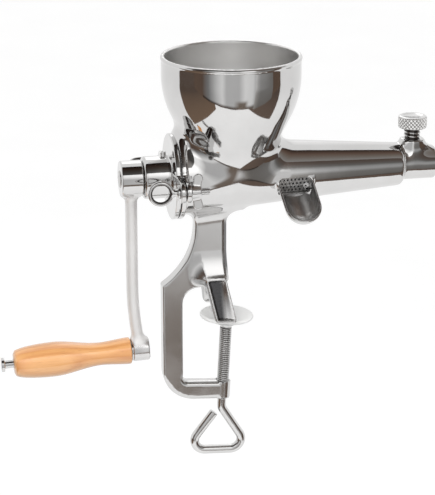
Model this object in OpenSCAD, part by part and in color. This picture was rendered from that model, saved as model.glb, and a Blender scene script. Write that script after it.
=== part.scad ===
// Screw fruit press that clamps to a table: a hand crank turns an auger in a tapered barrel,
// juice leaves through a strainer over the spout and pulp leaves through the nozzle.
// Millimetres. Origin: clamp screw axis at the table top. +X to the nozzle, +Z up.

/* [Stance] */
// Height of the barrel axis above the table top
axis_h = 107; // [100:1:120]
// Hopper axis in front of the clamp screw
hopper_off = 3; // [0:0.5:8]

/* [Hopper] */
// Outer radius of the bowl below its rim
hopper_r = 50; // [44:0.5:58]
// Height of the rim above the barrel axis
hopper_h = 87; // [78:1:100]
// Straight upper wall of the bowl
hopper_straight = 14; // [8:1:22]
// Radius of the curved wall of the bowl, seen in section
hopper_bulge = 66; // [60:1:75]
// Half angle of the funnel under the bowl
hopper_cone = 27; // [24:1:32]
// Wall of the bowl
hopper_wall = 2.6; // [2:0.1:3.5]
// Radius of the rolled bead on the rim
rim_bead = 1.8; // [1.2:0.1:2.4]
// Radius of the throat into the barrel
throat_r = 17; // [13:0.5:18]
// Floor of the bowl above the barrel axis, where the throat starts
bowl_floor = 10; // [8:0.5:14]

/* [Barrel] */
// Outer radius at the sealing face
barrel_rear_r = 28.6; // [27.5:0.1:29.5]
// Outer radius at the front end
barrel_front_r = 15.6; // [14.5:0.1:17]
// Hopper axis back to the sealing face
barrel_rear_len = 41; // [38:0.5:46]
// Hopper axis to the front end
barrel_front_len = 127; // [118:1:140]
// Wall of the barrel
barrel_wall = 3.2; // [2.8:0.1:3.8]
// Radius of the rear flange and of its cover
flange_r = 31; // [30:0.5:32]
// Outer radius of the collar round the nozzle
collar_r = 11.8; // [11:0.1:13]
// Length of the collar
collar_len = 24.6; // [20:0.2:28]
// Centre of the thumb screw in front of the barrel end
boss_off = 8.3; // [7:0.1:11]
// Radius of the thumb screw boss
boss_r = 8.2; // [7:0.1:9]
// Top of the thumb screw boss above the barrel axis
boss_h = 18.5; // [17:0.5:24]
// Slope of the ribs before and behind the boss
rib_slope = 45; // [40:1:55]
// Thickness of those ribs
rib_t = 11; // [8:0.5:14]

/* [Juice outlet] */
// Start of the juice window in front of the hopper axis
window_off = 30.5; // [26:0.5:36]
// Length of the juice window
window_len = 24; // [20:0.5:26]
// Top edge of the window below the barrel axis
window_drop = 0.8; // [0:0.1:3]
// Height of the window
window_h = 12; // [9:0.5:14]
// Inner radius of the spout
spout_r = 12; // [11.5:0.1:13.5]
// Wall of the spout
spout_wall = 1.5; // [1.2:0.1:2.4]
// Slope of the spout below level
spout_slope = 42; // [38:1:55]
// Turn of the spout towards the nozzle
spout_skew = 6; // [0:1:10]
// Length of the spout's straight part, from the barrel's side
spout_len = 21; // [18:0.5:28]
// Wall of the perforated strainer
strainer_t = 1; // [0.8:0.1:1.4]
// Strainer past each end of the window
strainer_lap = 6; // [4:0.5:8]
// Diameter of the strainer's holes
strainer_hole = 1.5; // [0.8:0.1:1.6]
// Spacing of the strainer's holes
strainer_pitch = 2.8; // [2.4:0.1:3.4]

/* [Rear cover] */
// Thickness of the cover, of the barrel's flange and of their ears
cover_t = 3.6; // [3:0.1:4]
// Thickness of the gasket
gasket_t = 0.6; // [0.5:0.1:1]
// Radius of the bearing boss
bearing_r = 15.4; // [14:0.1:17]
// Length of the bearing boss behind the cover
bearing_len = 19.6; // [17:0.2:23]
// Radius of the oil lug on the bearing boss
lug_r = 2.3; // [2:0.1:3]
// Height of the lug above the boss
lug_h = 3.4; // [2:0.1:5]
// Wall of the lug
lug_wall = 1.3; // [1:0.1:1.5]
// Distance of the eye bolts from the barrel axis
ear_off = 42; // [41.5:0.5:46]
// Half height of the ears
ear_r = 7.5; // [6.5:0.1:8.5]
// Radius of the auger's shaft
shaft_r = 6; // [5.5:0.1:7]
// Wall of the bearing bush
bush_wall = 2.5; // [2:0.1:3]
// Length of the shaft seal
seal_len = 4; // [3:0.5:6]
// Thickness of the thrust washer
thrust_t = 1.5; // [1:0.1:2]

/* [Auger] */
// Radius of the auger's core
core_r = 8.2; // [7.6:0.1:8.6]
// Radius of the auger's rear disc
disc_r = 20; // [18:0.5:21]
// Thickness of that disc
disc_t = 2.5; // [2:0.1:3.5]
// Length of one turn of the flight
flight_pitch = 26; // [22:1:32]
// Thickness of the flight
flight_t = 3; // [2.4:0.1:4]
// Running clearance round the flight
auger_clear = 0.5; // [0.4:0.1:0.8]

/* [Pulp nozzle and thumb screw] */
// Outer radius of the nozzle's sleeve
nozzle_r = 8.6; // [8:0.1:9]
// Radius of the nozzle's lip outside the collar
nozzle_lip_r = 5.8; // [5.2:0.1:7]
// Length of that lip
nozzle_lip_len = 3; // [2:0.5:6]
// Radius of the pulp hole
nozzle_bore = 4; // [3:0.1:4.6]
// Radius of the thumb screw's thread
thumb_r = 5; // [4.5:0.1:5.5]
// Radius of its knurled head
thumb_head_r = 10.5; // [10:0.1:12]
// Thickness of its head
thumb_head_t = 9; // [6:0.2:10]
// Bare neck between the boss and the head
thumb_neck = 8.4; // [6:0.2:11]

/* [Eye bolts] */
// Radius of the eye bolt's thread
eye_bolt_r = 2.5; // [2:0.1:2.8]
// Outer radius of the eye
eye_r = 9.2; // [8:0.1:10]
// Radius of the eye's wire
eye_wire = 1.4; // [1.2:0.1:1.6]
// Thread past the wing nut
eye_bolt_past = 4.5; // [3:0.5:7]
// Gap from the eye to the shoulder on the cover
eye_neck = 2.5; // [2:0.5:4]
// Thickness of the shoulder
eye_collar_t = 1.6; // [1.2:0.1:2]
// Radius of the shoulder
eye_collar_r = 4.4; // [4:0.1:4.8]
// Length of the wing nut
wing_len = 8.4; // [7:0.2:10]
// Span of the wing nut
wing_span = 26; // [22:0.5:30]
// Radius of the wing nut's hub
wing_hub_r = 4.5; // [4:0.1:4.7]
// Length of the wing nut's hub
wing_hub_len = 6.8; // [6:0.2:7]
// Radius of the wings' round tips
wing_tip_r = 3.9; // [3.4:0.1:4.2]
// Thickness of the wings
wing_t = 2.4; // [2:0.1:3]

/* [Crank] */
// Barrel axis to the handle
crank_len = 131; // [110:1:150]
// Radius of the crank's hub
hub_r = 13.1; // [12:0.1:14.5]
// Length of the crank's hub
hub_len = 15.6; // [15:0.2:20]
// Gap between the hub and the bearing boss
hub_gap = 0.5; // [0.4:0.1:1]
// Radius of the arm at the hub
arm_r = 4.3; // [4:0.1:5]
// Straight upper part of the arm, from the barrel axis
arm_straight = 80; // [60:1:90]
// Angle through which the arm's lower part bends
arm_bend = 12; // [6:1:14]
// Radius of the boss that takes the handle bolt
crank_boss_r = 8.4; // [7.5:0.1:10]
// Length of that boss
crank_boss_len = 12; // [10:0.5:15]
// Droop of the handle below the barrel's direction
handle_droop = 2.5; // [0:0.5:4]
// Radius of the set screw in the hub
set_screw_r = 2.5; // [2:0.1:3]
// Radius of the set screw's hexagon socket
set_socket_r = 1.4; // [1.2:0.1:1.6]

/* [Handle] */
// Length of the wooden grip
grip_len = 86; // [75:1:100]
// Radius of the grip's inner end
grip_in_r = 9.9; // [9:0.1:11]
// Radius of the grip's waist
grip_waist_r = 8.4; // [7.6:0.1:9.2]
// Radius of the grip's belly
grip_belly_r = 12.7; // [11.5:0.1:14]
// Radius of the grip's outer end
grip_out_r = 8; // [7:0.1:9]
// Radius of the handle bolt
handle_bolt_r = 3; // [2.5:0.1:3.5]
// Bolt left bare outside the grip
handle_bare = 6.6; // [2:0.2:8]
// Radius of the bolt's head
handle_head_r = 5.3; // [5:0.1:6.5]
// Thickness of the bolt's head
handle_head_t = 2.6; // [2:0.1:3.5]
// Thickness of the washer at the crank
handle_washer_t = 1.2; // [1:0.1:1.6]

/* [Clamp frame] */
// Thickness of the frame
frame_t = 11.5; // [11:0.5:13]
// Width of the column under the barrel
column_w = 24; // [22:0.5:27]
// Front of the column behind the clamp screw
column_back = 0.6; // [0:0.1:2]
// Radius of the curve from the column out to the spine
sweep_r = 53.4; // [50:0.1:56]
// Height of that curve's centre above the table top
sweep_h = 70; // [66:1:74]
// Clear depth of the clamp, from the screw to the spine
reach = 33.8; // [30:0.2:36]
// Width of the spine
spine_w = 14.8; // [13:0.2:18]
// Height of the arch over the gap, above the table top
arch_h = 22.8; // [20:0.2:26]
// Radius of the arch's corner
arch_r = 12; // [8:0.5:14]
// Clear opening from the table top down to the lower arm
opening = 53; // [48:1:60]
// Height of the lower arm
arm_h = 14; // [12:0.5:17]
// Radius of the frame's outer lower corner
heel_r = 24; // [16:0.5:27]
// Radius of the inner lower corner
crotch_r = 4.3; // [3:0.1:6]
// Fillet from the column to the barrel
fillet_r = 11; // [8:0.5:14]
// Lean of the clamp screw and its arm
clamp_lean = 3; // [0:0.5:4]

/* [Jaw] */
// Width of each jaw leg
leg_w = 15.5; // [14:0.5:19]
// Height of the jaw legs
leg_h = 33.4; // [31:0.2:37]
// Lean of the jaw legs towards the barrel's rear
leg_lean = 10.5; // [8:0.5:14]
// Middle of the feet behind the clamp screw
foot_back = 4.9; // [4:0.1:8]
// Inner face of the feet from the middle
foot_in = 20.2; // [20:0.1:22]
// Thickness of the feet
foot_t = 8; // [6:0.2:10]
// Outside of the legs at their tops
leg_top_out = 17; // [15:0.5:19]
// Depth of the pocket in each leg
pocket_d = 3.4; // [2:0.1:4]
// Rim left round the pocket
pocket_rim = 2.2; // [1.8:0.1:3]
// Height of leg left whole above the pocket
pocket_head = 7; // [5:0.5:9]

/* [Clamp screw] */
// Radius of the clamp screw's thread
screw_r = 4.5; // [3.5:0.1:4.7]
// Radius of the bent rod below the thread
rod_r = 3.4; // [3:0.1:3.5]
// Radius of the pad
pad_r = 19.8; // [17:0.1:19.9]
// Thickness of the pad
pad_t = 2.8; // [2.4:0.1:4]
// Radius of the pad's socket
socket_r = 7.4; // [6.8:0.1:9]
// Depth of the socket below the pad
socket_h = 5.4; // [5:0.1:6.5]
// Metal left over the ball in the pad
pad_cap = 1.2; // [0.8:0.1:1.6]
// Gap between the pad and the jaw at rest
pad_gap = 0.4; // [0.3:0.1:1]
// Rod between the lower arm and the loop
loop_neck = 5.5; // [4:0.5:9]
// Angle of the loop's first limb
loop_out = 34.5; // [28:0.5:38]
// Length of that limb
loop_limb = 24; // [20:0.5:28]
// Length of the loop's bottom
loop_bottom = 19.5; // [18:0.5:26]
// Length of the last limb
loop_return = 21; // [12:0.5:22]
// Bend radius of the loop
loop_bend = 8; // [6.5:0.5:9]

/* [Hidden] */
$fn = 72;

// Clearances: a running fit, a slip fit between fixed pieces, and the room left beside moving faces
run_fit = 0.06;
slip_fit = 0.05;
side_gap = 0.35;
// Overlap that joins two shapes of one piece, the extra depth of a cut and the chamfer of turned edges
weld = 0.6;
cut = 1;
edge = 0.8;

steel = [0.74, 0.75, 0.77];
bright_steel = [0.82, 0.83, 0.85];
dark_steel = [0.55, 0.56, 0.58];
rubber = [0.16, 0.16, 0.17];
bronze = [0.72, 0.55, 0.32];
wood = [0.80, 0.52, 0.24];
pad_white = [0.88, 0.88, 0.86];

// The barrel's taper
barrel_len = barrel_rear_len + barrel_front_len;
taper = (barrel_rear_r - barrel_front_r) / barrel_len;
function barrel_r(s) = barrel_rear_r - taper * (s + barrel_rear_len);
function bore_r(s) = barrel_r(s) - barrel_wall;
function flight_r(s) = bore_r(s) - slip_fit - strainer_t - auger_clear;

// Stations along the barrel, from the hopper axis
seal_face = -barrel_rear_len;
cover_front = seal_face - gasket_t;
cover_back = cover_front - cover_t;
bearing_back = cover_back - bearing_len;
hub_front = bearing_back - hub_gap;
hub_back = hub_front - hub_len;
arm_at = (hub_front + hub_back) / 2;
boss_at = barrel_front_len + boss_off;
collar_front = barrel_front_len + collar_len;
ear_front = seal_face + cover_t;
strainer_back = window_off - strainer_lap;
strainer_front = window_off + window_len + strainer_lap;
auger_back = cover_front + thrust_t + 2 * side_gap;
front_wall = 3;
auger_front = barrel_front_len - front_wall - 2 * side_gap;
bush_r = shaft_r + run_fit + bush_wall;

// Bowl section: the curved wall starts under the straight wall and ends on the funnel
bulge_top = hopper_h - hopper_straight;
bulge_centre = hopper_r - hopper_bulge;
cone_top = bulge_top - hopper_bulge * sin(hopper_cone);

// Spout, from the barrel's side at the middle of the window
spout_at = window_off + window_len / 2;
spout_root = [spout_at, -barrel_r(spout_at), -window_drop - spout_wall];
spout_back = spout_r;

// Clamp frame
column_left = -column_back - column_w;
sweep_x = column_left - sweep_r;
spine_out = -reach - spine_w;
arm_tail = reach + spine_w / 2;
screw_hole_r = screw_r + run_fit;
jaw_span = 2 * (foot_in + foot_t + leg_w);

// Clamp screw, measured down its axis from the table top, and the ball's step out from the thread
ball_step = 1;
pad_top = -pad_gap;
socket_floor = pad_top - pad_t - socket_h;
ball_r = screw_r + ball_step;
ball_at = pad_top - pad_cap - ball_r - run_fit;
arm_under = -opening - arm_h;

// Handle: bolt, washer and grip lie along -X from the crank's boss
crank_boss_at = arm_at + (crank_len - arm_straight) * tan(arm_bend / 2);
grip_start = crank_boss_len / 2 + handle_washer_t + side_gap;
grip_end = grip_start + grip_len;
bolt_head_at = grip_end + handle_bare;

// Places

module press_frame() {
    translate([hopper_off, 0, axis_h]) children();
}

// Z runs along the barrel axis from the given station
module on_axis(station = 0) {
    press_frame() translate([station, 0, 0]) rotate([0, 90, 0]) children();
}

module clamp_axis() {
    rotate([0, clamp_lean, 0]) children();
}

// Z runs out along the handle, from the middle of the crank's boss
module handle_axis() {
    press_frame() translate([crank_boss_at, 0, -crank_len]) rotate([0, -90 - handle_droop, 0]) children();
}

// Z runs along an eye bolt, side -1 towards the viewer and 1 away
module eye_axis(side, station) {
    press_frame() translate([station, side * ear_off, 0]) rotate([0, 90, 0]) children();
}

module ring(outer, inner, len) {
    difference() {
        cylinder(h = len, r = outer);
        translate([0, 0, -cut]) cylinder(h = len + 2 * cut, r = inner);
    }
}

// A disc with both edges chamfered
module chamfered(r, h) {
    rotate_extrude() polygon([[0, 0], [r - edge, 0], [r, edge], [r, h - edge], [r - edge, h], [0, h]]);
}

// Barrel envelope, also used to cut what sits on it

module barrel_cone(inset, from, to) {
    on_axis(from) cylinder(h = to - from, r1 = barrel_r(from) - inset, r2 = barrel_r(to) - inset);
}

module barrel_outside() {
    barrel_cone(0, seal_face, barrel_front_len);
    on_axis(seal_face) cylinder(h = cover_t, r = flange_r);
}

// Two ears in one plate, holes left open for the eye bolts
module ears(from, inner) {
    on_axis(from) linear_extrude(cover_t) difference() {
        for (side = [-1, 1]) {
            translate([0, side * ear_off]) circle(ear_r);
            translate([-ear_r, side < 0 ? -ear_off : inner]) square([2 * ear_r, ear_off - inner]);
        }
        for (side = [-1, 1]) translate([0, side * ear_off]) circle(eye_bolt_r + slip_fit);
    }
}

// Hopper

// Half section of the bowl, drawn inwards by an inset
module bowl_section(inset, foot) {
    r_top = hopper_r - inset;
    r_bulge = hopper_bulge - inset;
    r_cone = bulge_centre + r_bulge * cos(hopper_cone);
    z_cone = bulge_top - r_bulge * sin(hopper_cone);
    r_foot = max(r_cone - (z_cone - foot) * tan(hopper_cone), 1);
    translate([0, bulge_top]) square([r_top, hopper_straight]);
    intersection() {
        translate([bulge_centre, bulge_top]) circle(r_bulge, $fn = 180);
        translate([0, z_cone]) square([r_top, bulge_top - z_cone]);
    }
    polygon([[0, foot], [r_foot, foot], [r_cone, z_cone], [0, z_cone]]);
}

module bowl_inside() {
    press_frame() {
        rotate_extrude() {
            bowl_section(hopper_wall, bowl_floor);
            translate([0, bulge_top]) square([hopper_r - hopper_wall, hopper_straight + cut]);
        }
        cylinder(h = cone_top, r = throat_r);
    }
}

module hopper() {
    color(steel) difference() {
        press_frame() {
            rotate_extrude() bowl_section(0, 0);
            translate([0, 0, hopper_h - rim_bead]) rotate_extrude()
                translate([hopper_r - hopper_wall / 2, 0]) circle(rim_bead, $fn = 36);
        }
        bowl_inside();
        barrel_outside();
        cover_room();
    }
}

// Space that the rear cover and its gasket take behind the sealing face
module cover_room() {
    on_axis(cover_back) cylinder(h = seal_face - cover_back, r = flange_r + side_gap);
}

// Barrel

module barrel() {
    color(steel) difference() {
        union() {
            barrel_outside();
            ears(seal_face, flange_r - weld);
        }
        barrel_bore();
        bowl_inside();
        press_frame() translate([window_off, -barrel_r(window_off) - cut, -window_drop - window_h])
            cube([window_len, barrel_r(window_off), window_h]);
        nozzle_hole();
    }
}

module barrel_bore() {
    barrel_cone(barrel_wall, seal_face - cut, barrel_front_len - front_wall);
}

// Hole for the nozzle's sleeve, through the barrel's front wall and the collar
module nozzle_hole() {
    on_axis(barrel_front_len - front_wall - cut)
        cylinder(h = collar_len + front_wall + 2 * cut, r = nozzle_r + run_fit);
}

// Juice spout, a scoop on the barrel's side under the window

module spout_shell(r) {
    cylinder(h = spout_back + spout_len, r = r);
    translate([0, 0, spout_back + spout_len]) sphere(r);
}

// Z runs down the spout, and the half towards the barrel's underside is kept
module spout_axis() {
    press_frame() translate(spout_root) rotate([90 + spout_slope, 0, 0]) rotate([0, spout_skew, 0])
        translate([0, 0, -spout_back]) children();
}

module juice_spout() {
    outer = spout_r + spout_wall;
    room = outer + cut;
    color(steel) difference() {
        spout_axis() difference() {
            spout_shell(outer);
            spout_shell(spout_r);
            translate([-room, 0, -room]) cube([2 * room, room, 3 * room + spout_back + spout_len]);
        }
        barrel_outside();
    }
}

// Nozzle collar on the barrel's front end

// The thumb screw's boss with a sloping rib before and behind it
module thumb_boss() {
    spread = boss_h / tan(rib_slope);
    press_frame() translate([boss_at, 0, 0]) {
        cylinder(h = boss_h, r = boss_r);
        rotate([90, 0, 0]) linear_extrude(rib_t, center = true)
            polygon([[-boss_r - spread, 0], [-boss_r, boss_h - edge], [boss_r, boss_h - edge],
                     [min(boss_r + spread, collar_front - boss_at), 0]]);
    }
}

module nozzle_collar() {
    color(steel) difference() {
        union() {
            on_axis(barrel_front_len) cylinder(h = collar_len, r = collar_r);
            thumb_boss();
        }
        barrel_outside();
        nozzle_hole();
        press_frame() translate([boss_at, 0, 0]) cylinder(h = boss_h + cut, r = thumb_r + run_fit);
    }
}

// Clamp frame

// Side outline of the column, spine and lower arm
module frame_outline() {
    difference() {
        union() {
            translate([spine_out, arch_h - arch_r])
                square([-spine_out - column_back, sweep_h - arch_h + arch_r]);
            translate([column_left, sweep_h - cut]) square([column_w, axis_h - sweep_h]);
            translate([spine_out, -opening - arm_h]) square([spine_w, opening + arm_h + arch_h]);
            rotate(-clamp_lean) translate([-arm_tail, arm_under]) square([arm_tail, arm_h]);
            inner_corner();
            column_fillet();
        }
        translate([sweep_x, sweep_h]) circle(sweep_r, $fn = 180);
        translate([spine_out - cut, sweep_h - cut]) square([column_left - spine_out, axis_h]);
        arch_cut();
        heel_cut();
        rotate(-clamp_lean) translate([-2 * arm_tail, arm_under - arm_h]) square([3 * arm_tail, arm_h]);
    }
}

// Space under the arch, open to the front
module arch_cut() {
    translate([-reach + arch_r, arch_h - arch_r]) circle(arch_r);
    translate([-reach + arch_r, arch_h - 2 * arch_r]) square([reach, 2 * arch_r]);
    translate([-reach, arch_h - 2 * arch_r]) square([2 * arch_r, arch_r]);
}

// What the rounded heel takes off the outer corner
module heel_cut() {
    low = arm_under / cos(clamp_lean) - (spine_out + heel_r) * tan(clamp_lean);
    difference() {
        translate([spine_out - cut, low - arm_h]) square([heel_r + cut, heel_r + arm_h]);
        translate([spine_out + heel_r, low + heel_r]) circle(heel_r);
    }
}

// Fillet from the column's front edge up to the barrel's underside
module column_fillet() {
    under = axis_h - barrel_r(-hopper_off);
    difference() {
        translate([-column_back - cut, under - fillet_r]) square([fillet_r + cut, fillet_r + barrel_wall]);
        translate([-column_back + fillet_r, under - fillet_r]) circle(fillet_r);
    }
}

module inner_corner() {
    top = -opening / cos(clamp_lean) + reach * tan(clamp_lean);
    difference() {
        translate([-reach - cut, top - cut]) square(crotch_r + cut);
        translate([-reach + crotch_r, top + crotch_r]) circle(crotch_r);
    }
}

// Profile of one jaw leg across the frame, from above its top to below the foot
module leg_profile(inset) {
    out_top = leg_top_out - inset;
    out_foot = foot_in + foot_t - inset;
    extra = leg_w / 2 * tan(leg_lean);
    flare = extra * (out_foot - out_top) / leg_h;
    polygon([[0, leg_h + extra], [out_top - flare, leg_h + extra], [out_foot + flare, -extra],
             [foot_in, -extra], [foot_in, foot_back], [frame_t / 2 - weld, arch_h], [0, arch_h]]);
}

// One jaw leg, leaning back as it rises, with a pocket in its outer face
module jaw_leg(side) {
    difference() {
        leg_slab(side, leg_w, 0);
        difference() {
            leg_slab(side, leg_w - 2 * pocket_rim, -cut);
            leg_slab(side, leg_w, pocket_d);
            leg_ends(leg_h - pocket_head, pocket_rim);
        }
        leg_ends(leg_h, 0);
    }
}

// All that lies above one height and below another
module leg_ends(top, low) {
    for (z = [top, low - leg_h])
        translate([-reach, -jaw_span / 2, z]) cube([2 * reach, jaw_span, leg_h]);
}

module leg_slab(side, w, inset) {
    translate([-foot_back, 0, 0]) rotate([0, -leg_lean, 0])
        mirror([0, side < 0 ? 1 : 0, 0]) rotate([90, 0, 90])
            linear_extrude(w, center = true) leg_profile(inset);
}

module clamp_frame() {
    color(steel) difference() {
        union() {
            rotate([90, 0, 0]) linear_extrude(frame_t, center = true) frame_outline();
            clamp_axis() translate([0, 0, arm_under]) cylinder(h = arm_h, r = frame_t / 2);
            for (side = [-1, 1]) jaw_leg(side);
        }
        barrel_outside();
        clamp_axis() translate([0, 0, arm_under - cut]) cylinder(h = arm_h + 2 * cut, r = screw_hole_r);
    }
}

// Rear cover and bearing

module rear_cover() {
    color(steel) difference() {
        union() {
            on_axis(cover_back) cylinder(h = cover_t, r = flange_r);
            ears(cover_back, flange_r - weld);
            on_axis(bearing_back) chamfered(bearing_r, bearing_len + edge);
            oil_lug() cylinder(h = bearing_r + lug_h, r = lug_r);
        }
        oil_lug() translate([0, 0, bush_r + bush_wall])
            cylinder(h = bearing_r, r = lug_r - lug_wall, $fn = 24);
        on_axis(bearing_back - cut) cylinder(h = bearing_len + cover_t + 2 * cut, r = bush_r);
    }
}

// Z runs up through the small oil lug on the bearing boss
module oil_lug() {
    press_frame() translate([cover_back - 2 * lug_r, 0, 0]) children();
}

module cover_gasket() {
    color(rubber) on_axis(cover_front) ring(flange_r - weld, bore_r(seal_face), gasket_t);
}

module bearing_bush() {
    color(bronze) on_axis(bearing_back) ring(bush_r, shaft_r + run_fit, bearing_len + cover_t - seal_len);
}

module shaft_seal() {
    color(rubber) on_axis(cover_front - seal_len) ring(bush_r, shaft_r + run_fit, seal_len);
}

module thrust_washer() {
    color(bronze) on_axis(cover_front + side_gap) ring(bush_r + bush_wall, shaft_r + run_fit, thrust_t);
}

// Auger

// Section of the flight at a turn angle: root and tip, rear face and front face
flight_start = auger_back + disc_t / 2;
flight_end = auger_front - flight_t;
flight_steps = 24;
flight_count = floor((flight_end - flight_start) / flight_pitch * flight_steps);
function flight_at(i) = flight_start + i * flight_pitch / flight_steps;
function flight_ring(i) = [for (c = [[0, 0], [1, 0], [1, 1], [0, 1]])
    let (s = flight_at(i) + c[1] * flight_t, a = i * 360 / flight_steps)
    let (r = c[0] == 0 ? core_r - weld : flight_r(s + flight_t))
    [r * cos(a), r * sin(a), s]];

module flight() {
    points = [for (i = [0 : flight_count]) each flight_ring(i)];
    sides = [for (i = [0 : flight_count - 1], k = [0 : 3])
        let (a = 4 * i + k, b = 4 * i + (k + 1) % 4)
        each [[b + 4, a + 4, a], [b, b + 4, a]]];
    last = 4 * flight_count;
    polyhedron(points, concat([[2, 1, 0], [3, 2, 0]], sides,
                              [[last, last + 1, last + 2], [last, last + 2, last + 3]]));
}

module auger() {
    color(dark_steel) {
        on_axis(hub_back + side_gap) cylinder(h = auger_back - hub_back, r = shaft_r);
        on_axis(auger_back) cylinder(h = disc_t, r = disc_r);
        on_axis(auger_back) cylinder(h = auger_front - auger_back, r = core_r);
        on_axis() flight();
    }
}

// Strainer, seated in the barrel's taper

module strainer() {
    color(bright_steel) difference() {
        barrel_cone(barrel_wall + slip_fit, strainer_back, strainer_front);
        barrel_cone(barrel_wall + slip_fit + strainer_t, strainer_back - cut, strainer_front + cut);
        strainer_holes();
    }
}

// Staggered rows of holes where the window shows the strainer
module strainer_holes() {
    rows = floor((window_h - strainer_hole) / strainer_pitch);
    columns = floor((window_len - strainer_hole) / strainer_pitch - 0.5);
    first = window_off + (window_len - (columns + 0.5) * strainer_pitch) / 2;
    press_frame() for (row = [0 : rows], column = [0 : columns])
        translate([first + strainer_pitch * (column + (row % 2) / 2), 0,
                   -window_drop - strainer_hole - row * strainer_pitch])
            rotate([90, 0, 0]) cylinder(h = barrel_rear_r, r = strainer_hole / 2, $fn = 16);
}

// Pulp nozzle and thumb screw

module pulp_nozzle() {
    back = barrel_front_len - front_wall + side_gap;
    sleeve = collar_front - back;
    color(bright_steel) on_axis(back) difference() {
        union() {
            cylinder(h = sleeve, r = nozzle_r);
            cylinder(h = sleeve + nozzle_lip_len, r = nozzle_lip_r);
        }
        translate([0, 0, -cut]) cylinder(h = sleeve + nozzle_lip_len + 2 * cut, r = nozzle_bore);
        translate([0, 0, -cut]) cylinder(h = sleeve / 2, r1 = nozzle_lip_r, r2 = nozzle_bore);
    }
}

module thumb_screw() {
    tip = nozzle_r + side_gap;
    teeth = 44;
    knurl = 0.35;
    head_at = boss_h + thumb_neck;
    color(bright_steel) press_frame() translate([boss_at, 0, 0]) {
        translate([0, 0, tip]) cylinder(h = head_at - tip + weld, r = thumb_r);
        translate([0, 0, head_at]) {
            chamfered(thumb_head_r - knurl / 2, thumb_head_t);
            translate([0, 0, edge + weld]) linear_extrude(thumb_head_t - 2 * (edge + weld))
                polygon([for (i = [0 : 2 * teeth - 1])
                    (thumb_head_r - (i % 2) * knurl) * [cos(i * 180 / teeth), sin(i * 180 / teeth)]]);
        }
    }
}

// Eye bolts and wing nuts

// An eye bolt with its eye turned by an angle about its stem
module eye_bolt(side, turn) {
    collar_back = cover_back - eye_collar_t;
    eye_at = collar_back - eye_neck - eye_r;
    bolt_end = ear_front + side_gap + wing_len + eye_bolt_past;
    color(bright_steel) {
        eye_axis(side, eye_at) rotate([90, 0, turn]) rotate_extrude()
            translate([eye_r - eye_wire, 0]) circle(eye_wire, $fn = 32);
        eye_axis(side, eye_at + eye_r - eye_wire)
            cylinder(h = bolt_end - eye_at - eye_r + eye_wire, r = eye_bolt_r);
        eye_axis(side, collar_back) cylinder(h = eye_collar_t, r = eye_collar_r);
    }
}

// Hub with two flared wings, the wings up and down
module wing_nut(side) {
    reach_out = wing_span / 2 - wing_tip_r;
    color(bright_steel) eye_axis(side, ear_front + side_gap) difference() {
        union() {
            cylinder(h = wing_hub_len, r1 = wing_hub_r, r2 = wing_hub_r - weld);
            rotate([90, 0, 0]) linear_extrude(wing_t, center = true) for (way = [-1, 1]) {
                translate([way * reach_out, wing_len - wing_tip_r]) circle(wing_tip_r);
                polygon([[0, edge], [way * reach_out, wing_len - 2 * wing_tip_r],
                         [way * reach_out, wing_len], [0, wing_hub_len - edge]]);
            }
        }
        translate([0, 0, -cut]) cylinder(h = wing_len + 2 * cut, r = eye_bolt_r + run_fit);
    }
}

// Crank

module crank_arm() {
    bend_r = (crank_len - arm_straight) / sin(arm_bend);
    color(steel) difference() {
        union() {
            on_axis(hub_back) chamfered(hub_r, hub_len);
            press_frame() translate([arm_at, 0, -arm_straight]) cylinder(h = arm_straight, r = arm_r);
            press_frame() translate([arm_at + bend_r, 0, -arm_straight]) rotate([90, 0, 0]) rotate(180)
                rotate_extrude(angle = arm_bend) translate([bend_r, 0]) circle(arm_r, $fn = 48);
            handle_axis() translate([0, 0, -crank_boss_len / 2]) chamfered(crank_boss_r, crank_boss_len);
        }
        on_axis(hub_back - cut) cylinder(h = hub_len + 2 * cut, r = shaft_r + slip_fit);
        set_screw_axis() cylinder(h = hub_r + cut, r = set_screw_r + slip_fit);
        handle_axis() translate([0, 0, -crank_boss_len / 2 - cut])
            cylinder(h = crank_boss_len + 2 * cut, r = handle_bolt_r + slip_fit);
    }
}

// Z runs from the shaft out through the far side of the hub
module set_screw_axis() {
    press_frame() translate([arm_at, 0, 0]) rotate([-90, 0, 0]) children();
}

module crank_set_screw() {
    start = shaft_r + slip_fit;
    color(dark_steel) set_screw_axis() translate([0, 0, start]) difference() {
        cylinder(h = hub_r - start - side_gap, r = set_screw_r);
        translate([0, 0, hub_r - start - 2 * set_socket_r]) cylinder(h = hub_r, r = set_socket_r, $fn = 6);
    }
}

// Handle

module handle_bolt() {
    back = -crank_boss_len / 2 + side_gap;
    color(bright_steel) handle_axis() {
        translate([0, 0, back]) cylinder(h = bolt_head_at - back + weld, r = handle_bolt_r);
        translate([0, 0, bolt_head_at]) chamfered(handle_head_r, handle_head_t);
    }
}

module handle_washer() {
    color(bright_steel) handle_axis() translate([0, 0, crank_boss_len / 2])
        ring(crank_boss_r - weld, handle_bolt_r + slip_fit, handle_washer_t);
}

// Smooth step from 0 to 1
function ease(t) = t * t * (3 - 2 * t);
function between(a, b, t) = a + (b - a) * ease(t);

// Radius of the grip from its inner end (0) to its outer end (1): flare, waist, belly, end
waist_at = 0.26;
belly_at = 0.66;
function grip_r(t) = t < waist_at ? between(grip_in_r, grip_waist_r, t / waist_at)
    : t < belly_at ? between(grip_waist_r, grip_belly_r, (t - waist_at) / (belly_at - waist_at))
    : grip_out_r + (grip_belly_r - grip_out_r) * sqrt(1 - pow((t - belly_at) / (1 - belly_at), 2));

module handle_grip() {
    steps = 28;
    color(wood) handle_axis() translate([0, 0, grip_start]) difference() {
        rotate_extrude() polygon(concat(
            [[0, 0]], [for (i = [0 : steps]) [grip_r(i / steps), grip_len * i / steps]], [[0, grip_len]]));
        translate([0, 0, -cut]) cylinder(h = grip_len + 2 * cut, r = handle_bolt_r + run_fit);
    }
}

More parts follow.
